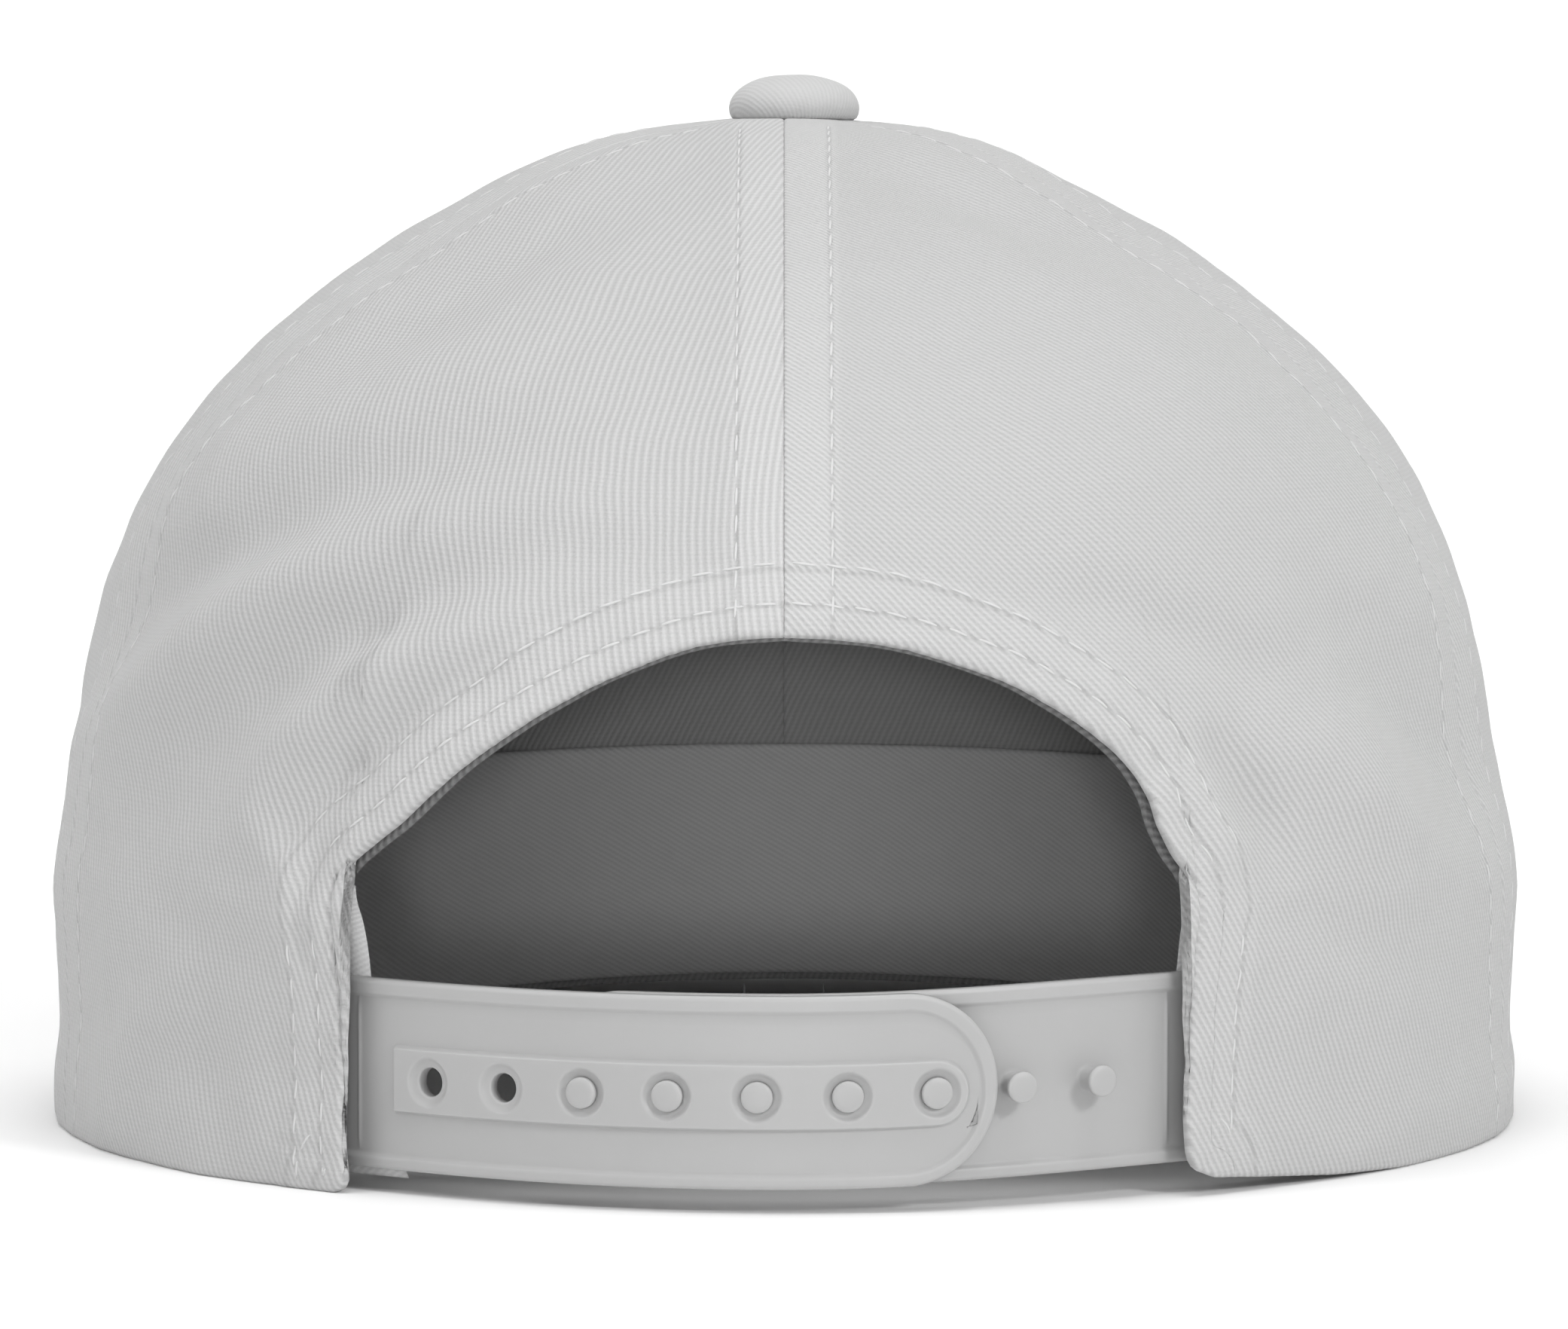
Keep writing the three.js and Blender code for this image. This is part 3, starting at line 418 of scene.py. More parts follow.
def shell(outer: Array, inner: Array) -> tuple[Array, Array]:
    """Points and faces of the closed shell between an outer and an inner grid."""
    points = np.concatenate([outer.reshape(-1, 3), inner.reshape(-1, 3)])
    rows, columns = outer.shape[:2]
    back = rows * columns
    index = np.arange(back).reshape(rows, columns)
    rim = np.concatenate([index[0], index[1:, -1], index[-1, -2::-1], index[-2::-1, 0]])
    wall = joined(rim[:-1], rim[1:], rim[1:] + back, rim[:-1] + back)
    inside = quads(rows, columns, back)[:, ::-1]
    return points, facing_out(points, np.concatenate([quads(rows, columns), inside, wall]))


def facing_out(points: Array, faces: Array) -> Array:
    """The faces turned so that the closed mesh's volume is positive."""
    a, b, c = points[faces[:, 0]], points[faces[:, 1]], points[faces[:, 2]]
    d = points[faces[:, -1]]
    volume = np.einsum("ij,ij->", a, np.cross(b, c)) + np.einsum("ij,ij->", a, np.cross(c, d))
    return faces if volume > 0 else faces[:, ::-1]


def make_object(
    name: str, points: Array, faces: Array, material: bpy.types.Material,
    replaces: tuple[str, ...] = (), weave: Array | None = None, layers: Array | None = None,
    rows: Array | None = None,
) -> bpy.types.Object:
    """Puts a mesh into the scene, shades it smooth and hands it to the frame.

    Args:
        name: the piece's name.
        points: vertices in millimetres.
        faces: quads as rows of four indices.
        material: its finish.
        replaces: the CAD nodes that it stands for.
        weave: a pattern coordinate in millimetres for each vertex.
        layers: the share of folded cloth behind each vertex.
        rows: signed distances in millimetres to three sewn rows, and the share that is sewn.

    Returns:
        The new object.
    """
    mesh = bpy.data.meshes.new(name)
    mesh.vertices.add(len(points))
    mesh.vertices.foreach_set("co", (points * MM).astype(np.float32).ravel())
    mesh.loops.add(faces.size)
    mesh.loops.foreach_set("vertex_index", faces.astype(np.int32).ravel())
    mesh.polygons.add(len(faces))
    mesh.polygons.foreach_set("loop_start", np.arange(0, faces.size, faces.shape[1], dtype=np.int32))
    mesh.update(calc_edges=True)
    if weave is not None:
        layer = mesh.uv_layers.new(name="weave")
        layer.data.foreach_set("uv", weave[faces.ravel()].astype(np.float32).ravel())
    if layers is not None:
        backing = mesh.attributes.new("layers", "FLOAT", "POINT")
        backing.data.foreach_set("value", layers.astype(np.float32))
    if rows is not None:
        away = np.ascontiguousarray(rows[:, :3], dtype=np.float32).ravel()
        mesh.attributes.new("rows", "FLOAT_VECTOR", "POINT").data.foreach_set("vector", away)
        share = np.ascontiguousarray(rows[:, 3], dtype=np.float32)
        mesh.attributes.new("sewn", "FLOAT", "POINT").data.foreach_set("value", share)
    mesh.validate()
    mesh.polygons.foreach_set("use_smooth", np.ones(len(mesh.polygons), dtype=bool))
    mesh.materials.append(material)
    made = into_scene(name, mesh)
    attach(made, "root")
    if replaces:
        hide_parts(*replaces)
    LOG.info("%s: %d faces", name, len(mesh.polygons))
    return made


def linear(code: str) -> tuple[float, float, float, float]:
    """An sRGB hex colour as linear red, green, blue and alpha."""
    parts = [int(code[i : i + 2], 16) / 255 for i in (1, 3, 5)]
    values = [p / 12.92 if p <= 0.04045 else ((p + 0.055) / 1.055) ** 2.4 for p in parts]
    return values[0], values[1], values[2], 1.0


def add_node(
    tree: bpy.types.NodeTree, kind: str, settings: dict[str, object], inputs: dict[object, object]
) -> bpy.types.Node:
    """Adds a node, sets its properties, and links or sets its inputs.

    Args:
        tree: the material's tree.
        kind: the node's type, without ShaderNode before it.
        settings: values of its properties.
        inputs: by socket name or number, a value, or the socket or node that feeds it.

    Returns:
        The node.
    """
    node = tree.nodes.new("ShaderNode" + kind)
    for key, value in settings.items():
        setattr(node, key, value)
    for key, value in inputs.items():
        source = value.outputs[0] if isinstance(value, bpy.types.Node) else value
        if isinstance(source, bpy.types.NodeSocket):
            tree.links.new(source, node.inputs[key])
        else:
            node.inputs[key].default_value = source
    return node


def empty_material(name: str) -> tuple[bpy.types.Material, bpy.types.NodeTree]:
    """A new material with an empty tree, and the tree."""
    made = bpy.data.materials.new(name)
    made.use_nodes = True
    made.node_tree.nodes.clear()
    return made, made.node_tree


@dataclass(frozen=True)
class CottonTwill:
    """Cotton twill, woven and washed: matt, with diagonal ridges and a short nap."""

    name: str
    colour: str
    # Colour of the weave's low points, darker as painted shade.
    valley_shade: str
    pitch: float = 0.78
    lean: float = 27.0
    depth: float = 0.2
    float_length: float = 0.62
    float_height: float = 0.2
    stagger: float = 0.66
    drift: float = 0.6
    nap_height: float = 1.7
    backed_light: float = 1.07
    groove_half_width: float = 0.32
    groove_depth: float = 0.1
    groove_light: float = 0.9

    def material(self) -> bpy.types.Material:
        """Ridge height = cosine across the ridges, broken along them into floats, plus nap."""
        made, tree = empty_material(self.name)
        place = add_node(tree, "UVMap", {"uv_map": "weave"}, {})
        drift = add_node(tree, "TexNoise", {"noise_dimensions": "2D"}, {
            "Vector": place, "Scale": 0.09, "Detail": 3.0, "Roughness": 0.35,
        })
        turned = add_node(tree, "Mapping", {"vector_type": "TEXTURE"}, {
            "Vector": place, "Rotation": (0, 0, math.radians(self.lean)),
        })
        axes = add_node(tree, "SeparateXYZ", {}, {0: turned})
        wander = add_node(tree, "Math", {"operation": "MULTIPLY_ADD"}, {
            0: drift, 1: self.drift, 2: axes,
        })
        across = add_node(
            tree, "Math", {"operation": "MULTIPLY"}, {0: wander, 1: 2 * math.pi / self.pitch},
        )
        ridge = add_node(tree, "Math", {"operation": "COSINE"}, {0: across})
        # Each ridge is a row of short floats, staggered by a third from ridge to ridge.
        stagger = add_node(tree, "Math", {"operation": "MULTIPLY_ADD"}, {
            0: axes.outputs[1], 1: 2 * math.pi / self.float_length,
            2: add_node(tree, "Math", {"operation": "MULTIPLY"}, {0: across, 1: self.stagger}),
        })
        floats = add_node(tree, "Math", {"operation": "SINE"}, {0: stagger})
        nap = add_node(tree, "TexNoise", {"noise_dimensions": "2D"}, {
            "Vector": place, "Scale": 4.5, "Detail": 3.0, "Roughness": 0.65,
        })
        woven = add_node(tree, "Math", {"operation": "MULTIPLY_ADD"}, {
            0: floats, 1: self.float_height, 2: ridge,
        })
        height = add_node(tree, "Math", {"operation": "MULTIPLY_ADD"}, {
            0: nap, 1: self.nap_height, 2: woven,
        })
        level = add_node(tree, "MapRange", {}, {0: height, "From Min": -0.9, "From Max": 2.5})
        groove = self.groove(tree)
        pulled = add_node(tree, "Bump", {"invert": True}, {
            "Height": groove, "Distance": self.groove_depth * MM, "Strength": 1.0,
        })
        bump = add_node(tree, "Bump", {}, {
            "Height": level, "Distance": self.depth * MM, "Strength": 0.8, "Normal": pulled,
        })
        # Painted shade: the weave's low points (ridges, floats and nap) take the darker valley colour,
        # standing in for the shade between the ridges.
        tone = add_node(tree, "Mix", {"data_type": "RGBA"}, {
            0: level, 6: linear(self.valley_shade), 7: linear(self.colour),
        })
        # Little light reaches the bottom of the groove that the thread pulls into the cloth.
        shaded = add_node(tree, "MapRange", {}, {0: groove, "To Min": 1.0, "To Max": self.groove_light})
        # Folded cloth behind the face lets less light through, so it looks a little lighter.
        folded = add_node(tree, "Attribute", {"attribute_name": "layers"}, {})
        backed = add_node(tree, "HueSaturation", {}, {
            "Color": tone.outputs[2],
            "Value": add_node(tree, "MapRange", {}, {
                0: folded.outputs["Fac"], "To Min": 1.0, "To Max": self.backed_light,
            }),
        })
        dimmed = add_node(tree, "HueSaturation", {}, {"Color": backed, "Value": shaded})
        shader = add_node(tree, "BsdfPrincipled", {}, {
            "Base Color": dimmed, "Roughness": 0.92, "IOR": 1.45,
            "Specular IOR Level": 0.2, "Sheen Weight": 0.15, "Sheen Roughness": 0.5, "Normal": bump,
        })
        add_node(tree, "OutputMaterial", {}, {0: shader})
        return made

    def groove(self, tree: bpy.types.NodeTree) -> bpy.types.Node:
        """Groove under a sewn row: exp of minus the square of the distance to the nearest row over
        the groove's half width, times the share that is sewn."""
        rows = add_node(tree, "Attribute", {"attribute_name": "rows"}, {})
        squares = add_node(tree, "VectorMath", {"operation": "MULTIPLY"}, {
            0: rows.outputs["Vector"], 1: rows.outputs["Vector"],
        })
        each = add_node(tree, "SeparateXYZ", {}, {0: squares})
        hem = add_node(tree, "Math", {"operation": "MINIMUM"}, {0: each, 1: each.outputs[1]})
        closest = add_node(tree, "Math", {"operation": "MINIMUM"}, {0: hem, 1: each.outputs[2]})
        power = add_node(
            tree, "Math", {"operation": "MULTIPLY"}, {0: closest, 1: -1 / self.groove_half_width**2},
        )
        pull = add_node(tree, "Math", {"operation": "EXPONENT"}, {0: power})
        sewn = add_node(tree, "Attribute", {"attribute_name": "sewn"}, {})
        return add_node(tree, "Math", {"operation": "MULTIPLY"}, {0: pull, 1: sewn.outputs["Fac"]})


@dataclass(frozen=True)
class MouldedPlastic:
    """Polyethylene, injection moulded: soft matt sheen, a faint grain, light passes a little."""

    name: str
    colour: str
    roughness: float = 0.46

    def material(self) -> bpy.types.Material:
        """Even colour with slow tone changes and a grain far under a tenth of a millimetre."""
        made, tree = empty_material(self.name)
        place = add_node(tree, "TexCoord", {}, {})
        grain = add_node(
            tree, "TexNoise", {}, {"Vector": place.outputs["Object"], "Scale": 2200.0, "Detail": 2.0},
        )
        flow = add_node(
            tree, "TexNoise", {}, {"Vector": place.outputs["Object"], "Scale": 70.0, "Detail": 2.0},
        )
        tone = add_node(tree, "HueSaturation", {}, {
            "Color": linear(self.colour),
            "Value": add_node(tree, "MapRange", {}, {0: flow, "To Min": 0.97, "To Max": 1.02}),
        })
        bump = add_node(tree, "Bump", {}, {"Height": grain, "Distance": 0.01 * MM, "Strength": 0.6})
        shader = add_node(tree, "BsdfPrincipled", {}, {
            "Base Color": tone, "Roughness": self.roughness, "IOR": 1.5,
            "Subsurface Weight": 0.4, "Subsurface Radius": (1.0, 1.0, 1.0),
            "Subsurface Scale": 1.1 * MM, "Normal": bump,
        })
        add_node(tree, "OutputMaterial", {}, {0: shader})
        return made


@dataclass(frozen=True)
class SewingThread:
    """Spun polyester thread: a little smoother and lighter than the cloth."""

    name: str
    colour: str

    def material(self) -> bpy.types.Material:
        """Even colour, with the plies' twist as fine waves along the piece."""
        made, tree = empty_material(self.name)
        place = add_node(tree, "TexCoord", {}, {})
        plies = add_node(
            tree, "TexNoise", {}, {"Vector": place.outputs["Object"], "Scale": 3500.0, "Detail": 1.0},
        )
        bump = add_node(tree, "Bump", {}, {"Height": plies, "Distance": 0.04 * MM, "Strength": 0.7})
        shader = add_node(tree, "BsdfPrincipled", {}, {
            "Base Color": linear(self.colour), "Roughness": 0.7, "Sheen Weight": 0.2, "Normal": bump,
        })
        add_node(tree, "OutputMaterial", {}, {0: shader})
        return made


@dataclass
class Panel:
    """One of the crown's six panels, between two seams, with its sewn edges."""

    form: CrownForm
    side: Side
    start: Seam
    end: Seam
    has_opening: bool = False
    columns: int = 60
    rows: int = 120
    seam_gap: float = 0.002
    seam_row: float = 6.0
    allowance: float = 6.6
    allowance_rise: float = 0.24
    hem_rows: tuple[float, float] = (3.1, 7.3)
    right_tab_row: float = 6.4
    hem_width: float = 8.4
    hem_rise: float = 0.28
    needle_width: float = 0.45
    needle_depth: float = 0.12
    stitch: float = 3.45
    edge_round: float = 0.72
    seam_round: float = 0.7
    seam_flat: float = 0.4
    slack: float = 0.36
    unevenness: float = 0.11
    seam_tug: float = 0.05
    seam_pucker: float = 0.16
    hem_tug: float = 0.07
    hem_pucker: float = 0.2

    def __post_init__(self) -> None:
        """Works out the lower edge and the lines that distances are measured from."""
        form, sign = self.form, self.side.value
        seam = float(form.seam_azimuth(self.end, np.array([0.0]))[0])
        if self.has_opening:
            azimuth, level = form.opening_edge(self.side, 0, len(form.opening) - 1, 900)
            rim = np.linspace(azimuth[-1], sign * seam, 300)
            self.opening_line = form.base(azimuth, level)
        else:
            first = float(form.seam_azimuth(self.start, np.array([0.0]))[0])
            azimuth, level = np.zeros(0), np.zeros(0)
            rim = np.linspace(sign * first, sign * seam, 400)
            self.opening_line = None
        rim_level = form.level_at(form.rim_height(rim))
        self.rim_line = form.base(rim, rim_level)
        self.lower = np.concatenate([azimuth, rim]), np.concatenate([level, rim_level])

    def seam_distance(self, seam: Seam, azimuth: Array, level: Array, base: Array) -> Array:
        """Length around the crown from a seam."""
        radius = np.hypot(base[..., 0], base[..., 1])
        return np.radians(np.abs(np.abs(azimuth) - self.form.seam_azimuth(seam, level))) * radius

    def surface(self, azimuth: Array, level: Array, inner: bool = False) -> Array:
        """The sewn cloth: main folds, seam allowances and hems that stand a little proud, rows
        pulled in by the needle, small puckers between stitches, and edges rolled over.

        Args:
            azimuth: azimuths, in degrees.
            level: levels, in the same shape.
            inner: whether to give the inner face.

        Returns:
            Points with the coordinates last.
        """
        form = self.form
        base = form.base(azimuth, level)
        rise = form.relief(azimuth, level, base)
        radius = np.hypot(base[..., 0], base[..., 1])
        calm = smooth(radius, 7, 20)
        fine = self.slack * ripple(base, 34, 3) + self.unevenness * ripple(base, 9, 4)
        rolled = np.zeros_like(rise)
        for seam in (self.start, self.end):
            away = self.seam_distance(seam, azimuth, level, base)
            fine += self.allowance_rise * (1 - smooth(away, self.allowance - 0.8, self.allowance + 0.5))
            fine -= self.needle_depth * bell(away - self.seam_row, self.needle_width)
            tug = np.sin(2 * np.pi * base[..., 2] / self.stitch) * bell(away - self.seam_row, 1.6)
            pucker = ripple(base * [0.25, 0.25, 1.0], 6.5, 11) * bell(away, 9)
            fine += self.seam_tug * tug + self.seam_pucker * pucker
            turned = self.rolled_depth(away - self.seam_gap / 2, self.seam_round)
            rolled = np.maximum(rolled, self.seam_flat * turned)
        rim_away, _ = nearest(base, self.rim_line)
        rolled = np.maximum(rolled, self.rolled_depth(rim_away, self.edge_round))
        if self.opening_line is not None:
            away, along = nearest(base, self.opening_line)
            fine += self.hem_rise * (1 - smooth(away, self.hem_width - 0.8, self.hem_width + 0.6))
            for row in self.hem_rows:
                fine -= self.needle_depth * bell(away - row, self.needle_width)
                tug = np.sin(2 * np.pi * along / self.stitch)
                fine += self.hem_tug * tug * bell(away - row, 1.5)
            pucker = ripple(joined(along, away * 0.2), 7.5, 21)
            fine += self.hem_pucker * pucker * bell(away - 5, 6)
            fine += self.hem_pucker * ripple(joined(along, away), 4.5, 23) * bell(away, 2.2)
            if self.side is Side.LEFT:
                fine -= self.tab_pucker(away, base[..., 2])
            rolled = np.maximum(rolled, self.rolled_depth(away, self.edge_round))
        if inner:
            depth = form.cloth - rolled - 0.5 * fine * calm
            return base + form.normal(azimuth, level) * (rise - depth)[..., None]
        return base + form.normal(azimuth, level) * (rise + fine * calm - rolled)[..., None]

    @staticmethod
    def tab_pucker(away: Array, height: Array) -> Array:
        """The pulled hollow beside the left tab's edge: two Gaussian dips between two heights."""
        fade = smooth(height, 22, 27) * (1 - smooth(height, 34, 41))
        wander = 0.6 * np.sin(height / 2.1)
        deep = 0.75 * bell(away - 4.9 - wander, 1.3)
        return fade * (deep + 0.3 * bell(away - 8.4 + wander, 1.2))

    def layers(self, azimuth: Array, level: Array) -> Array:
        """Share of folded cloth behind the face: 1 over seam allowances and hems, 0 elsewhere."""
        base = self.form.base(azimuth, level)
        folded = np.zeros(base.shape[:-1])
        for seam in (self.start, self.end):
            away = self.seam_distance(seam, azimuth, level, base)
            share = 1.0 if seam is Seam.CENTRE_BACK else 0.3
            near = 1 - smooth(away, self.allowance - 0.3, self.allowance + 0.9)
            folded = np.maximum(folded, share * near)
        if self.opening_line is not None:
            away, _ = nearest(base, self.opening_line)
            near = 1 - smooth(away, self.hem_width - 0.4, self.hem_width + 1)
            folded = np.maximum(folded, 0.5 * near)
        return folded

    def sewn_rows(self, azimuth: Array, level: Array) -> Array:
        """Signed distances to the two hem rows and the seam row, then the share that is sewn.

        The right tab has one row, so the first row's groove thins away there.
        """
        base = self.form.base(azimuth, level)
        seams = [self.seam_distance(s, azimuth, level, base) for s in (self.start, self.end)]
        beside = np.minimum(*seams) - self.seam_row
        sewn = 1 - smooth(level, self.form.apex_level - 2.1, self.form.apex_level - 1.7)
        if self.opening_line is None:
            far = np.full_like(beside, 9.0)
            return joined(far, far, beside, sewn)
        away, _ = nearest(base, self.opening_line)
        on_tab = 1 - smooth(base[..., 2], 27.5, 31.5)
        first, second = away - self.hem_rows[0], away - self.hem_rows[1]
        if self.side is Side.RIGHT:
            first = first * (1 + 40 * on_tab)
            second = second + (self.hem_rows[1] - self.right_tab_row) * on_tab
        return joined(first, second, beside, sewn)

    @staticmethod
    def rolled_depth(away: Array, radius: float) -> Array:
        """Depth of a rolled edge: the radius less the height of a quarter circle."""
        near = np.clip(radius - away, 0, radius)
        return radius - np.sqrt(np.maximum(radius**2 - near**2, 0))

    def place(self, lower: tuple[Array, Array], share: Array) -> tuple[Array, Array]:
        """Fans the lower edge up to the apex hole.

        Args:
            lower: azimuths and levels of the lower edge.
            share: shares of the way up.

        Returns:
            Azimuths and levels, a row of them for each point of the lower edge.
        """
        form = self.form
        azimuth, level = lower
        from_low = form.seam_azimuth(self.start, level)
        to_low = form.seam_azimuth(self.end, level)
        low = (np.abs(azimuth) - from_low) / (to_low - from_low)
        steps = np.hypot(np.diff(azimuth) * 1.5, np.diff(level) * 8)
        reach = np.concatenate([[0], np.cumsum(steps)])
        high = reach / reach[-1]
        up = mix(level[:, None], form.top_level, share[None])
        across = np.clip(mix(low[:, None], high[:, None], share[None]), 0, 1)
        first, last = form.seam_azimuth(self.start, up), form.seam_azimuth(self.end, up)
        base = form.base(first, up)
        half = np.degrees(self.seam_gap / 2 / np.maximum(2, np.hypot(base[..., 0], base[..., 1])))
        return self.side.value * mix(first + half, last - half, across), up

    def build(self, name: str, finish: bpy.types.Material) -> bpy.types.Object:
        """Makes the panel's mesh and its weave coordinates."""
        length = 175.0 if self.has_opening else 90.0
        close = (0.0, 0.12, 0.3, 0.55, 0.9)
        stations = finer_ends(self.columns, length, close)
        lower = spaced(*self.lower, self.form, stations)
        share = finer_ends(self.rows, 115.0, close)
        azimuth, level = self.place(lower, share)
        outer, inner = self.surface(azimuth, level), self.surface(azimuth, level, inner=True)
        points, faces = shell(outer, inner)
        weave = self.weave(azimuth, level).reshape(-1, 2)
        layers = self.layers(azimuth, level).ravel()
        rows = self.sewn_rows(azimuth, level).reshape(-1, 4)
        hidden = rows * [1, 1, 1, 0]
        return make_object(
            name, points, faces, finish, (name[5:],), np.concatenate([weave, weave]),
            np.concatenate([layers, layers]), np.concatenate([rows, hidden]),
        )

    def weave(self, azimuth: Array, level: Array) -> Array:
        """Grain of the cut cloth: across is the length around from the grain line, to the right
        as seen from outside, and up is the length along the grain line."""
        form = self.form
        first, last = form.seam_azimuth(self.start, level), form.seam_azimuth(self.end, level)
        grain = mix(first, last, 0.82 if self.has_opening else 0.5) * self.side.value
        step = form.base(azimuth + 0.5, level) - form.base(azimuth - 0.5, level)
        across = -(azimuth - grain) * np.linalg.norm(step, axis=-1)
        levels = np.linspace(0, form.apex_level, 400)
        middle = form.seam_azimuth(self.start, levels) * 0.5
        middle = self.side.value * (middle + form.seam_azimuth(self.end, levels) * 0.5)
        reach = lengths(form.base(middle, levels))
        return joined(across, np.interp(level, levels, reach))


@dataclass
class Stitching:
    """Rows of lockstitch: short threads that rise from the cloth and dip back into it."""

    finish: bpy.types.Material
    length: float = 2.95
    pitch: float = 3.45
    half_width: float = 0.17
    height: float = 0.13
    sink: float = 0.12
    rings: int = 6
    sides: int = 6
    points: list[Array] = field(default_factory=list)
    faces: list[Array] = field(default_factory=list)
    total: int = 0

    def row(self, line: Array, normals: Array, lean: float = 0.0) -> None:
        """Adds one row along a line on the cloth.

        Each stitch is a tube: its middle line rises by the height times 1 - (2t - 1)^4 and its
        half width shrinks towards the ends by the square root of sin(pi t).

        Args:
            line: points of the row, in order.
            normals: the cloth's normals there.
            lean: how far each stitch turns off the row's line, as a slope.
        """
        reach = lengths(line)
        count = int(reach[-1] / self.pitch)
        if count < 1:
            return
        starts = (np.arange(count) + 0.5) * reach[-1] / count - self.length / 2
        t = np.linspace(0.02, 0.98, self.rings)
        at = starts[:, None] + t[None] * self.length
        centre = np.stack([np.interp(at, reach, line[:, k]) for k in range(3)], axis=-1)
        up = np.stack([np.interp(at, reach, normals[:, k]) for k in range(3)], axis=-1)
        up = unit_rows(up)
        across = np.cross(unit_rows(np.gradient(centre, axis=1)), up)
        centre = centre + across * (lean * (t - 0.5) * self.length)[None, :, None]
        centre = centre + up * (self.height * (1 - (2 * t - 1) ** 4) - self.sink)[None, :, None]
        angle = np.linspace(0, 2 * np.pi, self.sides, endpoint=False)
        size = self.half_width * np.sqrt(np.sin(np.pi * t))
        ring = (
            across[:, :, None] * (np.cos(angle)[None, :] * size[:, None])[None, ..., None]
            + up[:, :, None] * (np.sin(angle)[None, :] * size[:, None] * 0.75)[None, ..., None]
        )
        tube = centre[:, :, None] + ring
        # Two quads close each six-sided end.
        first = np.array([[0, 1, 2, 3], [3, 4, 5, 0]])
        last = first[:, ::-1] + (self.rings - 1) * self.sides
        cells = np.concatenate([quads(self.rings, self.sides, closes=True), first, last])
        size_each = self.rings * self.sides
        offsets = self.total + np.arange(count) * size_each
        self.points.append(tube.reshape(-1, 3))
        self.faces.append((cells[None] + offsets[:, None, None]).reshape(-1, 4))
        self.total += count * size_each

    def build(self, name: str, slot: str) -> bpy.types.Object:
        """Makes one mesh of all the rows."""
        points, faces = np.concatenate(self.points), np.concatenate(self.faces)
        return make_object(name, points, facing_out(points, faces), self.finish)


@dataclass
class CrownStitches:
    """Where the crown's stitch rows run."""

    panels: dict[str, Panel]
    stitching: Stitching
    arch_rows: tuple[float, float] = (0.0, 9.0)
    left_tab_rows: tuple[float, float] = (10.5, 15.4)
    right_tab_rows: tuple[float, float] = (10.2, 15.4)

    def along_seam(self, panel: Panel, seam: Seam, distance: float) -> None:
        """A row beside a seam, from the lower edge to near the button."""
        form = panel.form
        low = 0.25
        if panel.has_opening and seam is Seam.CENTRE_BACK:
            low = float(form.level_at(np.array([form.arch_height + 1.2]))[0])
        level = np.linspace(low, form.apex_level - 1.9, 260)
        azimuth = form.seam_azimuth(seam, level)
        base = form.base(azimuth, level)
        radius = np.hypot(base[:, 0], base[:, 1])
        inwards = 1 if seam is panel.start else -1
        azimuth = panel.side.value * (azimuth + inwards * np.degrees(distance / radius))
        self.add(panel, azimuth, level)

    def along_opening(self, panel: Panel, distance: float, low: float, high: float) -> None:
        """A row beside the opening's edge, between two rows of its table."""
        azimuth, level = panel.form.opening_edge(panel.side, low, high, 240)
        azimuth, level = panel.form.inset(azimuth, level, panel.side.value * distance)
        self.add(panel, azimuth, level)

    def add(self, panel: Panel, azimuth: Array, level: Array) -> None:
        """Lays a path on the panel's cloth and sews it."""
        line = panel.surface(azimuth, level)
        self.stitching.row(line, panel.form.normal(azimuth, level), lean=0.05)

    def sew(self) -> None:
        """Sews every seam and the opening's hem."""
        for panel in self.panels.values():
            for seam in (panel.start, panel.end):
                self.along_seam(panel, seam, panel.seam_row)
            if panel.has_opening:
                for distance in panel.hem_rows:
                    self.along_opening(panel, distance, *self.arch_rows)
                if panel.side is Side.LEFT:
                    for distance in panel.hem_rows:
                        self.along_opening(panel, distance, *self.left_tab_rows)
                else:
                    self.along_opening(panel, panel.right_tab_row, *self.right_tab_rows)


@dataclass
class InnerStrip:
    """A strip of tape or band that lies inside the crown."""

    form: CrownForm
    thickness: float

    def build(
        self, name: str, lower: tuple[Array, Array], upper: tuple[Array, Array], inset: Array,
        rows: int, finish: bpy.types.Material,
    ) -> bpy.types.Object:
        """Fills between two edges and rolls the borders.

        Args:
            name: the piece's name.
            lower: azimuths and levels of its lower edge.
            upper: azimuths and levels of its upper edge.
            inset: depth of its outer face under the cloth's, for each column.
            rows: rows across it.
            finish: its material.

        Returns:
            The new object.
        """
        share = finer_ends(rows, 12.0, (0.0, 0.1, 0.3, 0.6))
        azimuth = mix(lower[0][:, None], upper[0][:, None], share[None])
        level = mix(lower[1][:, None], upper[1][:, None], share[None])
        base = self.form.base(azimuth, level)
        relief = self.form.relief(azimuth, level, base)
        normal = self.form.normal(azimuth, level)
        along = lengths(base[:, 0])[:, None] + np.zeros_like(share)[None]
        up = np.linalg.norm(base - base[:, :1], axis=-1)
        edge = np.minimum.reduce([up, up[:, -1:] - up, along, along[-1:] - along])
        rolled = Panel.rolled_depth(edge, self.thickness * 0.45)
        fine = 0.08 * ripple(base, 11, 31)
        outer = base + normal * (relief + fine - inset[:, None] - rolled)[..., None]
        depth = inset[:, None] + self.thickness - rolled
        inner = base + normal * (relief + fine - depth)[..., None]
        points, faces = shell(outer, inner)
        weave = joined(along, up).reshape(-1, 2)
        return make_object(
            name, points, faces, finish, (name[5:],), np.concatenate([weave, weave])
        )


